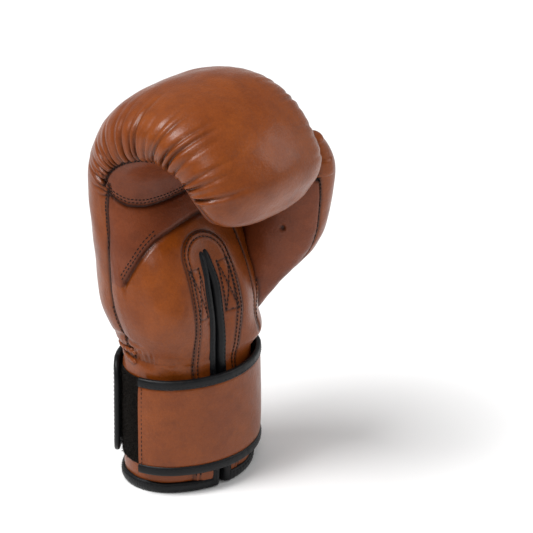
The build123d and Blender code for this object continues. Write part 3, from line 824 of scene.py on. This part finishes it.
for part, (start, end) in STRAP_CUTS.items():
    pieces[f"strap_{part}_leather"] = strap_sheet(
        f"strap_{part}_leather", start, end, STRAP_BINDING - 0.9, STRAP_INNER + 1.0, STRAP_OUTER - 0.25, 0.55)
    pieces[f"strap_{part}_backing"] = strap_sheet(
        f"strap_{part}_backing", start, end, STRAP_BINDING - 0.9, STRAP_INNER, STRAP_INNER + 0.9, 0.0)
    pieces[f"strap_{part}_binding"] = strap_binding(f"strap_{part}_binding", start, end)
    lines = [[(on_strap(along, at, STRAP_OUTER + 0.42), out_of_oval(angle_of(along)))
              for along, at, _, _ in path] for path in strap_path(start, end, STRAP_BINDING - 1.7)]
    if part == "palm":
        lines.append([(on_strap(SEWN_END, at, STRAP_OUTER + 0.3), out_of_oval(angle_of(SEWN_END)))
                      for at in np.linspace(MIDDLE_Z - 27, MIDDLE_Z + 27, 30)])
    stitch_lines[f"strap_{part}_stitching"] = lines
HOOK_FROM = 360 + math.degrees(math.acos(-8 / 60.0))  # where x is -8 on a circle of radius 60
pieces["hook_patch"] = strap_sheet("hook_patch", HOOK_FROM, STRAP_TO, 8.0, 1.7, 2.8, 0.0)

# ---- loop patch ----
LOOP_HALF = 31.5
rings = []
for degrees in np.linspace(97.5, 186.0, 110):
    ring = []
    for t in np.linspace(-1, 1, 60):
        fuzz = 0.18 * math.sin(degrees * 5.3 + t * 37) * math.sin(degrees * 3.1 - t * 61)
        edge = 1 - abs(t) ** 40
        ring.append(oval_point(degrees, 0.25 + (0.95 + fuzz) * edge, MIDDLE_Z + LOOP_HALF * t))
    for t in np.linspace(1, -1, 6):
        ring.append(oval_point(degrees, 0.15, MIDDLE_Z + LOOP_HALF * t))
    rings.append(ring)
pieces["loop_patch"] = tube("loop_patch", rings)
FIBRES = 5200
chance = np.random.default_rng(7)
points, faces = [], []
for _ in range(FIBRES):
    degrees = chance.uniform(139, 186) if chance.uniform() < 0.75 else chance.uniform(98, 139)
    root = oval_point(degrees, 1.0, MIDDLE_Z + chance.uniform(-31, 31))
    way = out_of_oval(degrees)
    lean = chance.normal(0, 0.5, 3)
    tip = root + way * chance.uniform(0.3, 0.9) + lean
    middle = (root + tip) / 2 + way * 0.35
    wide = np.cross(way, lean + 1e-3)
    wide = wide / max(np.linalg.norm(wide), 1e-6) * 0.09
    first = len(points)
    points += [root - wide, root + wide, middle + wide, middle - wide, tip + wide * 0.4, tip - wide * 0.4]
    faces += [(first, first + 1, first + 2, first + 3), (first + 3, first + 2, first + 4, first + 5)]
pieces["loop_fibres"] = make_object("loop_fibres", points, faces)

# ---- thumb ----
THUMB_ROWS, THUMB_COLUMNS = 150, 170
PANEL_ORIGIN, PANEL_WAY = np.array([54.0, -32.0, 163.0]), np.array([-0.95, -0.30, -0.16])
VENTS = [(43, 46, 172), (56, 65, 208)]
THUMB_ROOT = np.array([(36, 0, 84, .35, -.20, 1, 8, 9)], float)
THUMB = np.concatenate([THUMB_ROOT, THUMB])
tu = np.linspace(0, len(THUMB) - 1, THUMB_ROWS)
angles = np.linspace(0, 2 * math.pi, THUMB_COLUMNS, endpoint=False)
thumb_rows = catmull(THUMB, tu)
thumb_points = []
for row in thumb_rows:
    centre = np.array([row[0], -row[1], row[2]])
    along = row[3:6] / np.linalg.norm(row[3:6])
    x_way = np.array([1.0, 0, 0]) - along * along[0]
    x_way /= np.linalg.norm(x_way)
    y_way = np.cross(along, x_way)
    wide, deep = max(row[6], 1.5), max(row[7], 1.5)
    round_x, round_y = (wide * np.cos(angles))[:, None], (deep * np.sin(angles))[:, None]
    thumb_points.append(centre + x_way * round_x + y_way * round_y)
tip_along = THUMB[-1][3:6] / np.linalg.norm(THUMB[-1][3:6])
TIP_HEIGHT = 3.2
last_ring = thumb_points[-1]
tip_centre = last_ring.mean(axis=0)
for step in (0.25, 0.5, 0.7, 0.85, 0.95, 0.995):
    shrink = math.sqrt(1 - step**2)
    thumb_points.append(tip_centre + (last_ring - tip_centre) * shrink + tip_along * step * TIP_HEIGHT)
thumb = np.array(thumb_points)
count_u = len(thumb)
thumb_out = facing(normals_round(thumb), (60, 0), (1.0, 0, 0))
panel_field = (thumb - PANEL_ORIGIN) @ (PANEL_WAY / np.linalg.norm(PANEL_WAY))
thumb_seam = bell(panel_field, 0.9)
thumb_height = 0.35 * ripple(thumb, 40, 3.0) + 0.1 * ripple(thumb, 16, 5.0)
thumb_height = thumb_height - 1.2 * thumb_seam - 1.0 * bell(panel_field, 5)
vent_rim_shade = np.zeros(panel_field.shape)
vent_spots = []
for px, pp, pz in VENTS:
    away = np.linalg.norm(thumb - np.array([px, -pp, pz], float), axis=-1)
    row, column = np.unravel_index(np.argmin(away), away.shape)
    near = np.linalg.norm(thumb - thumb[row, column], axis=-1)
    thumb_height -= 1.4 * np.exp(-((near / 1.9) ** 4))
    vent_rim_shade = np.maximum(vent_rim_shade, np.exp(-((near / 2.0) ** 4)))
    vent_spots.append((row, column))
thumb_skin = thumb + thumb_out * thumb_height[..., None]
thumb_flat = thumb_skin.reshape(-1, 3)
inside = np.zeros(len(thumb_flat))
for i, point in enumerate(thumb_flat.tolist()):
    place, normal, _, away = skin_tree.find_nearest(Vector(point))
    j = 1.0 if (Vector(point) - place).dot(normal) > 0 else -1.0
    inside[i] = away * j
way_sign = 1.0 if inside[np.argmax(thumb_flat[:, 0])] > 0 else -1.0
inside *= -way_sign
thumb_faces = np.array(grid_faces(count_u, THUMB_COLUMNS, wrap=True))
keep = (inside[thumb_faces] < 2.2).any(axis=1)
beyond = panel_field.reshape(-1)[thumb_faces].mean(axis=1) > 0
tip_face = [tuple((count_u - 1) * THUMB_COLUMNS + j for j in range(THUMB_COLUMNS))]
# Painted shade on the thumb: darker along its seam, where it meets the hand and round each vent.
thumb_meeting_shade = bell(np.maximum(-inside, 0), 1.6)
thumb_painted_shade = np.clip(0.9 * thumb_seam.reshape(-1) + 0.8 * thumb_meeting_shade + vent_rim_shade.reshape(-1), 0, 1)
thumb_normals = facing(normals_round(thumb_skin), (60, 0), thumb_out[60, 0])
for name, use in (("thumb_shell", keep & ~beyond), ("thumb_inner_panel", keep & beyond)):
    faces = [tuple(face) for face in thumb_faces[use].tolist()] + (tip_face if name == "thumb_shell" else [])
    pieces[name] = make_object(name, thumb_flat, faces, thumb_normals.reshape(-1, 3), {"painted_crease_shade": thumb_painted_shade})
thumb_tree = BVHTree.FromPolygons(thumb_flat.tolist(), thumb_faces.tolist())
# Painted shade: a near-black cap fills each vent hole in place of the shade inside it.
points, faces = [], []
for row, column in vent_spots:
    centre, way = thumb_skin[row, column], thumb_out[row, column]
    side_a = np.cross(way, np.array([0, 0, 1.0]))
    side_a /= np.linalg.norm(side_a)
    side_b = np.cross(way, side_a)
    first = len(points)
    for size, lift in ((1.7, 0.3), (1.5, 0.1), (1.0, -0.2)):
        points += [centre + way * lift + (side_a * math.cos(a) + side_b * math.sin(a)) * size
                   for a in np.linspace(0, 2 * math.pi, 24, endpoint=False)]
    faces += [tuple(first + i for i in face) for face in grid_faces(3, 24, wrap=True)]
    faces.append(tuple(first + 48 + k for k in range(24)))
pieces["thumb_vents"] = make_object("thumb_vents", points, faces)

# The tab at the thumb's tip, and the stitches along the thumb's seam.
TAB_X, TAB_Y, TAB_Z, TAB_SIZE, TAB_CELLS = 57, -86, 207, 12, 8
tab_points = []
for i in range(TAB_CELLS + 1):
    for j in range(TAB_CELLS + 1):
        target = Vector((TAB_X + TAB_SIZE * j / TAB_CELLS, TAB_Y, TAB_Z + TAB_SIZE * i / TAB_CELLS))
        hit, normal, _, _ = thumb_tree.ray_cast(target + Vector((0, -60, 10)), Vector((0, 1, -0.1)))
        edge = min(i, TAB_CELLS - i, j, TAB_CELLS - j)
        if hit is None:
            hit, normal, _, _ = thumb_tree.find_nearest(target)
        way = np.array(normal)
        way = way if way[1] < 0 else -way
        tab_points.append(np.array(hit) + way * (0.15 if edge == 0 else 1.2))
tab_faces = grid_faces(TAB_CELLS + 1, TAB_CELLS + 1)
pieces["thumb_lock_tab"] = make_object("thumb_lock_tab", tab_points, tab_faces)
seam_rows = []
for row in range(10, count_u - 12):
    values = panel_field[row]
    for column in range(THUMB_COLUMNS):
        a, b = values[column], values[(column + 1) % THUMB_COLUMNS]
        if a < 0 <= b or b < 0 <= a:
            i = row * THUMB_COLUMNS + column
            if inside[i] < -1:
                seam_rows.append((a < 0 <= b, thumb_skin[row, column], thumb_out[row, column]))
lines = []
for kind in (True, False):
    line = [(place + way * 0.5, way) for which, place, way in seam_rows if which == kind]
    if len(line) > 5:
        lines.append(line)
stitch_lines["thumb_stitching"] = lines

# ---- lining ----
lining_u, lining_v = np.meshgrid(
    np.concatenate([np.linspace(-1.02, 0, 24, endpoint=False), np.linspace(0, 8, 110)]),
    np.linspace(90, 450, 161), indexing="ij")
room = curl(ROOM, lining_u, lining_v, 0, 2.0)
room_out = normals_of(room)
room_ripple = 0.5 * ripple(room, 30, 8.0) + 0.2 * np.sin(room[..., 2] / 1.9)
room = room + room_out * room_ripple[..., None] * 0.6
room_flat = room.reshape(-1, 3)
room_faces = np.array(grid_faces(*lining_u.shape))
ru, rv, rx, rz = (where_of(a.reshape(-1), room_faces) for a in (lining_u, lining_v, room[..., 0], room[..., 2]))
room_front = (rv > CUFF_SEAM) & (rv < CUFF_THUMB_SEAM) & (rz < SLIT_TOP) & (ru < 3)
room_slit = (np.abs(rx - SLIT_X) < 3.4) & room_front
for name, use in (
    ("back_cuff_lining", (ru < 0) & ~room_front), ("hand_lining", (ru >= 0) & ~room_front),
    ("ulnar_heel_lining", room_front & ~room_slit & (rx < SLIT_X)),
    ("radial_heel_lining", room_front & ~room_slit & (rx >= SLIT_X)),
):
    faces = [tuple(face) for face in room_faces[use].tolist()]
    if name == "hand_lining":
        last_row = (lining_u.shape[0] - 1) * lining_u.shape[1]
        faces.append(tuple(last_row + k for k in range(lining_u.shape[1] - 1)))
    pieces[name] = make_object(name, room_flat, faces)

# ---- stitching on the hand's leather ----
def patch_outline(inset):
    """(x, z) points round the patch's edge from the cuff up one side, over the arch and down the other."""
    left, right = [], []
    for at in np.linspace(12, PATCH_SQUARE_TOP, 90):
        centre, half = patch_shape(at)
        left.append((centre - (half - inset), at))
        right.append((centre + (half - inset), at))
    arch = [(centre - (half - inset) * math.cos(a), PATCH_SQUARE_TOP + (PATCH_ARCH - inset) * math.sin(a))
            for a in np.linspace(0, math.pi, 40)[1:-1]]
    return left, arch, right


patch_lines = {"ulnar": [], "radial": [], "top": []}
for inset in PATCH_ROWS:
    for name, line in zip(("ulnar", "top", "radial"), patch_outline(inset)):
        patch_lines[name].append([palm_point(a, b) for a, b in line])
for side, name in ((-1, "ulnar"), (1, "radial")):
    for start, end in box_lines(side):
        patch_lines[name].append([palm_point(*(start + (end - start) * t)) for t in np.linspace(0, 1, 12)])
for name, lines in patch_lines.items():
    stitch_lines[f"{name}_patch_stitching"] = lines


def along_curve(us, vs, count):
    """Places on the skin along a curve in the surface's own directions."""
    t = np.linspace(0, 1, count)
    knots = np.linspace(0, 1, len(us))
    cu, cv = np.interp(t, knots, us), np.interp(t, knots, vs)
    return [on_skin(place) for place in curl(HAND, cu, cv, 0, SQUARE)]


gusset_us = np.linspace(0.45, 3.3, 30)
stitch_lines["gusset_stitching"] = [
    along_curve(gusset_us, np.interp(gusset_us, GUSSET_U, GUSSET_V) - 1.6, 80),
    along_curve(gusset_us, np.interp(gusset_us, GUSSET_U, GUSSET_FAR_V) + 1.6, 80),
]
heel_vs = np.linspace(187, 232, 30)
heel_us = np.interp(heel_vs, HEEL_V, HEEL_U)
stitch_lines["heel_stitching"] = [along_curve(heel_us + by, heel_vs, 80) for by in (0.10, 0.17)]
crook_vs = np.linspace(192, 330, 60)
crook_us = np.interp(crook_vs, CROOK_V, CROOK_LINE)
stitch_lines["crook_stitching"] = [along_curve(crook_us + by, crook_vs, 120) for by in (0.09, 0.2)]
seam_us = np.linspace(0.1, CROOK_U, 60)
stitch_lines["ulnar_seam_stitching"] = [along_curve(seam_us, np.interp(seam_us, SEAM_U, SEAM_V), 160)]
stitch_lines["panel_edge_stitching"] = [
    [side_point(a, b, side) for a, b in LENS_OUTLINE[8:44]] for side in (-1, 1)]
for name, lines in stitch_lines.items():
    pitch, thick = (3.0, 0.5) if is_black(name) else (2.7, 0.75)
    pieces[name] = stitched(name, lines, pitch, thick)

# ---- materials ----
class Nodes:
    """A material being built from nodes, all in object coordinates."""

    def __init__(self, name):
        self.material = bpy.data.materials.new(name)
        self.material.use_nodes = True
        self.tree = self.material.node_tree
        self.shader = self.tree.nodes["Principled BSDF"]
        self.place = self.add("ShaderNodeTexCoord").outputs["Object"]

    def add(self, kind, **values):
        node = self.tree.nodes.new(kind)
        for key, value in values.items():
            if hasattr(node, key):
                setattr(node, key, value)
            else:
                node.inputs[key.replace("_", " ")].default_value = value
        return node

    def link(self, start, end):
        self.tree.links.new(start, end)

    def texture(self, kind, output="Fac", **values):
        node = self.add(kind, **values)
        self.link(self.place, node.inputs["Vector"])
        return node.outputs[output]

    def noise(self, scale, detail=4.0, rough=0.55):
        return self.texture("ShaderNodeTexNoise", Scale=scale, Detail=detail, Roughness=rough)

    def cells(self, scale):
        return self.texture("ShaderNodeTexVoronoi", "Distance", Scale=scale)

    def wave(self, scale, axis="X"):
        return self.texture("ShaderNodeTexWave", Scale=scale, bands_direction=axis)

    def spread(self, value, from_low, from_high, to_low, to_high):
        node = self.add("ShaderNodeMapRange", From_Min=from_low, From_Max=from_high,
                        To_Min=to_low, To_Max=to_high)
        self.link(value, node.inputs["Value"])
        return node.outputs["Result"]

    def product(self, a, b):
        node = self.add("ShaderNodeMath", operation="MULTIPLY")
        self.link(a, node.inputs[0])
        self.link(b, node.inputs[1])
        return node.outputs["Value"]

    def mix(self, factor, a, b):
        node = self.add("ShaderNodeMix", data_type="RGBA")
        self.link(factor, node.inputs["Factor"])
        for socket, value in ((node.inputs[6], a), (node.inputs[7], b)):
            if isinstance(value, tuple):
                socket.default_value = (*value, 1)
            else:
                self.link(value, socket)
        return node.outputs[2]

    def attribute(self, name):
        return self.add("ShaderNodeAttribute", attribute_name=name).outputs["Fac"]

    def bump(self, height_value, strength, distance, before=None):
        node = self.add("ShaderNodeBump", Strength=strength, Distance=distance)
        self.link(height_value, node.inputs["Height"])
        if before is not None:
            self.link(before, node.inputs["Normal"])
        return node.outputs["Normal"]

    def finish(self, colour, roughness, normal=None, **sockets):
        for value, key in ((colour, "Base Color"), (roughness, "Roughness"), (normal, "Normal")):
            if value is None:
                continue
            if isinstance(value, tuple):
                self.shader.inputs[key].default_value = (*value, 1)
            elif isinstance(value, (int, float)):
                self.shader.inputs[key].default_value = value
            else:
                self.link(value, self.shader.inputs[key])
        for key, value in sockets.items():
            self.shader.inputs[key.replace("_", " ")].default_value = value
        return self.material


def leather(name, light, middle, dark, gloss=0.35, coat=0.2):
    """Full-grain leather: patchy tone, painted shade in creases and seams, fine pores, faint wrinkles and a
    light wax.
    """
    made = Nodes(name)
    patches = made.spread(made.noise(22.0, 5.0, 0.6), 0.32, 0.68, 0, 1)
    tone = made.mix(patches, middle, light)
    streaks = made.spread(made.noise(95.0, 6.0, 0.65), 0.45, 0.72, 0, 0.32)
    tone = made.mix(streaks, tone, dark)
    fine = made.spread(made.noise(650.0, 3.0, 0.6), 0.35, 0.7, 0, 0.22)
    tone = made.mix(fine, tone, dark)
    # Painted shade: the per-vertex shade attribute mixes the tone towards a very dark brown where shade falls.
    crease_shade_amount = made.spread(made.attribute("painted_crease_shade"), 0.05, 1.0, 0, 0.93)
    deep = tuple(value * 0.22 for value in dark)
    tone = made.mix(crease_shade_amount, tone, deep)
    pores = made.cells(900.0)
    grain = made.noise(420.0, 6.0, 0.65)
    normal = made.bump(pores, 0.28, 0.0003)
    normal = made.bump(grain, 0.45, 0.0006, normal)
    normal = made.bump(made.noise(110.0, 4.0, 0.6), 0.3, 0.0014, normal)
    roughness = made.spread(made.noise(60.0, 4.0, 0.6), 0.3, 0.7, gloss - 0.05, gloss + 0.09)
    return made.finish(tone, roughness, normal, Coat_Weight=coat, Coat_Roughness=0.22, Specular_IOR_Level=0.22)


def binding_leather(name):
    made = Nodes(name)
    patches = made.spread(made.noise(60.0), 0.3, 0.7, 0, 1)
    tone = made.mix(patches, (0.002, 0.0022, 0.0026), (0.006, 0.0066, 0.008))
    normal = made.bump(made.cells(1100.0), 0.2, 0.0002)
    normal = made.bump(made.noise(260.0, 5.0, 0.6), 0.3, 0.0005, normal)
    roughness = made.spread(made.noise(120.0), 0.3, 0.7, 0.38, 0.5)
    return made.finish(tone, roughness, normal, Specular_IOR_Level=0.22)


def thread(name, colour):
    made = Nodes(name)
    strands = made.spread(made.noise(1500.0), 0.3, 0.7, 0, 1)
    tone = made.mix(strands, colour, tuple(value * 1.9 for value in colour))
    return made.finish(tone, 0.62, made.bump(made.wave(1400.0), 0.4, 0.0001), Specular_IOR_Level=0.2)


def woven(name, dark, light, size):
    made = Nodes(name)
    weave = made.product(made.wave(size, "X"), made.wave(size, "Z"))
    tone = made.mix(weave, dark, light)
    return made.finish(tone, 0.8, made.bump(weave, 0.5, 0.0003), Sheen_Weight=0.3)


def fuzzy(name, dark, light, scale):
    made = Nodes(name)
    tufts = made.noise(scale, 8.0, 0.75)
    tone = made.mix(made.spread(tufts, 0.4, 0.68, 0, 1), dark, light)
    normal = made.bump(made.cells(scale * 1.4), 0.7, 0.0008)
    return made.finish(tone, 0.95, normal, Specular_IOR_Level=0.12)


TAN = leather("tan_leather_finish", (0.245, 0.055, 0.0045), (0.180, 0.036, 0.003), (0.074, 0.013, 0.0015))
BROWN = leather("brown_leather_finish", (0.20, 0.047, 0.014), (0.142, 0.031, 0.009), (0.066, 0.013, 0.0035),
                gloss=0.4, coat=0.06)
BLACK = binding_leather("black_binding_finish")
THREAD = thread("dark_thread", (0.008, 0.004, 0.003))
BLACK_THREAD = thread("black_thread", (0.006, 0.006, 0.007))
LINING = woven("lining_fabric", (0.010, 0.010, 0.011), (0.045, 0.043, 0.042), 330.0)
BACKING = binding_leather("strap_backing_finish")
LOOP = fuzzy("loop_fuzz", (0.0015, 0.0012, 0.001), (0.016, 0.012, 0.009), 900.0)
HOOK = fuzzy("hook_field", (0.006, 0.006, 0.006), (0.05, 0.05, 0.05), 700.0)
# The vents' near-black is painted shade for the holes.
VENT_HOLE_SHADE = thread("vent_hole_painted_shade", (0.003, 0.002, 0.002))

STRAPS = ("strap_palm", "strap_side", "strap_tip")
FLAP_PARTS = ("heel_leather", "slit_patch", "slit_binding", "hem_binding", "heel_lining",
              "patch_stitching", "binding_stitching", "hem_stitching")


def strap_layers(strap):
    return [f"{strap}_{layer}" for layer in ("leather", "backing", "binding", "stitching")]


FINISHES = {
    "tan_leather": (TAN, [
        "main_shell", "back_cuff_leather", "ulnar_heel_leather", "radial_heel_leather", "thumb_side_gusset",
        "ulnar_slit_patch", "radial_slit_patch", "slit_top_patch", *(f"{strap}_leather" for strap in STRAPS),
        "thumb_shell", "thumb_lock_tab", "neck_piping", "neck_piping_upper"]),
    "brown_leather": (BROWN, ["upper_palm_panel", "finger_inner_panel", "thumb_inner_panel"]),
    "black_binding": (BLACK, [
        "ulnar_slit_binding", "radial_slit_binding", "ulnar_hem_binding", "radial_hem_binding",
        "back_hem_binding", *(f"{strap}_binding" for strap in STRAPS)]),
    "strap_backing": (BACKING, [f"{strap}_backing" for strap in STRAPS]),
    "lining": (LINING, ["back_cuff_lining", "hand_lining", "ulnar_heel_lining", "radial_heel_lining"]),
    "loop": (LOOP, ["loop_patch", "loop_fibres"]),
    "hook": (HOOK, ["hook_patch"]),
}
for slot, (material, names) in FINISHES.items():
    for name in names:
        pieces[name].data.materials.append(material)
for name in stitch_lines:
    pieces[name].data.materials.append(BLACK_THREAD if is_black(name) else THREAD)
pieces["thumb_vents"].data.materials.append(VENT_HOLE_SHADE)

# ---- which body each piece moves with: one body each, except the pieces listed in BENDS, which are only baked in place ----
ULNAR_BEND = {"start": (0, -0.00225, 0.09517), "end": (0, -0.01375, 0.08883)}
RADIAL_BEND = {"start": (0.0271, 0, 0.09414), "end": (0.0169, 0, 0.08986)}
BENDS = {
    ("glove", "ulnar_flap"): (ULNAR_BEND, [f"ulnar_{part}" for part in FLAP_PARTS]),
    ("glove", "radial_flap"): (RADIAL_BEND, [f"radial_{part}" for part in FLAP_PARTS]),
    ("ulnar_flap", "strap_palm"): (
        {"start": (0, -0.005, 0.05), "end": (0, -0.018, 0.05)}, strap_layers("strap_palm")),
    ("strap_palm", "strap_side"): (
        {"start": (0, -0.013, 0.05), "end": (0, 0.013, 0.05)}, strap_layers("strap_side")),
    ("strap_side", "strap_tip"): (
        {"start": (0.010, 0, 0.05), "end": (-0.010, 0, 0.05)}, strap_layers("strap_tip")),
    ("glove", "thumb"): ({"start": (0, 0, 0.110), "end": (0, 0, 0.150)}, [
        "thumb_shell", "thumb_inner_panel", "thumb_lock_tab", "thumb_stitching", "thumb_vents"]),
}
bent = set()
for (body_a, body_b), (ends, names) in BENDS.items():
    for name in names:
        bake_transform(pieces[name])
        bent.add(name)
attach(pieces["hook_patch"], "strap_tip")
for name, piece in pieces.items():
    if name not in bent and name != "hook_patch":
        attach(piece, "glove")

STANDS_FOR = {
    "main_shell": ["main_shell", "wrist_foam", "back_foam", "knuckle_foam", "finger_foam"],
    "finger_inner_panel": ["finger_inner_panel", "grip_bar"],
    "back_cuff_leather": ["back_cuff_leather", "back_cuff_foam"],
    "ulnar_heel_leather": ["ulnar_heel_leather", "ulnar_heel_foam", "ulnar_cuff_leather", "ulnar_cuff_foam"],
    "radial_heel_leather": [
        "radial_heel_leather", "radial_heel_foam", "radial_cuff_leather", "radial_cuff_foam"],
    "ulnar_heel_lining": ["ulnar_heel_lining", "ulnar_cuff_lining"],
    "radial_heel_lining": ["radial_heel_lining", "radial_cuff_lining"],
    "thumb_shell": ["thumb_shell", "thumb_base_foam", "thumb_foam", "thumb_lining"],
}
for name in pieces:
    nodes = STANDS_FOR.get(name, [name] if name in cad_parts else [])
    if nodes:
        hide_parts(*nodes)

# ---- floor, light and camera ----
floor_mesh = bpy.data.meshes.new("floor")
FLOOR_HALF, FLOOR_Z = 6, -0.0002
floor_corners = [(FLOOR_HALF * sx, FLOOR_HALF * sy, FLOOR_Z) for sx, sy in ((-1, -1), (1, -1), (1, 1), (-1, 1))]
floor_mesh.from_pydata(floor_corners, [], [(0, 1, 2, 3)])
floor = linked("floor", floor_mesh)
floor_finish = Nodes("floor_finish")
floor_mesh.materials.append(floor_finish.finish((0.97, 0.97, 0.97), 0.9))

world = bpy.data.worlds.new("studio")
bpy.context.scene.world = world
world.use_nodes = True
background = world.node_tree.nodes["Background"]
background.inputs["Color"].default_value = (1, 1, 1, 1)
background.inputs["Strength"].default_value = 0.36

AZIMUTH, ELEVATION = math.radians(-48), math.radians(25)
LEVEL = math.cos(ELEVATION)
BACK = Vector((math.sin(AZIMUTH) * LEVEL, -math.cos(AZIMUTH) * LEVEL, math.sin(ELEVATION)))
RIGHT = Vector((math.cos(AZIMUTH), math.sin(AZIMUTH), 0))
UP = BACK.cross(RIGHT)
AIM = RIGHT * 0.0521 + UP * 0.1311
VIEW_DISTANCE = 6.0
camera_data = bpy.data.cameras.new("camera")
camera_data.lens = 610
camera_data.sensor_width = 36
camera_data.clip_end = 20
camera = linked("camera", camera_data)
camera.location = AIM + BACK * VIEW_DISTANCE
camera.rotation_euler = BACK.to_track_quat("Z", "Y").to_euler()
bpy.context.scene.camera = camera
LIGHTS_AIM = Vector((0, 0, 0.14))


def area_light(name, right, up, back, energy, size):
    """A soft light placed by how far right, up and towards the viewer it is from the glove's middle."""
    data = bpy.data.lights.new(name, "AREA")
    data.energy, data.size = energy, size
    light = linked(name, data)
    light.location = LIGHTS_AIM + RIGHT * right + Vector((0, 0, up)) + BACK * back
    light.rotation_euler = (light.location - LIGHTS_AIM).to_track_quat("Z", "Y").to_euler()


sun_data = bpy.data.lights.new("sun", "SUN")
sun_data.energy, sun_data.angle = 2.15, math.radians(34)
sun = linked("sun", sun_data)
sun.rotation_euler = (RIGHT * -0.62 + Vector((0, 0, 1.25)) + BACK * 0.35).to_track_quat("Z", "Y").to_euler()
area_light("key", right=-0.55, up=0.85, back=0.35, energy=4.2, size=0.35)
area_light("front", right=0.05, up=0.35, back=1.1, energy=1.6, size=0.3)
area_light("rim", right=0.9, up=0.5, back=-0.1, energy=2.0, size=0.5)
bpy.context.scene.view_settings.view_transform = "Standard"
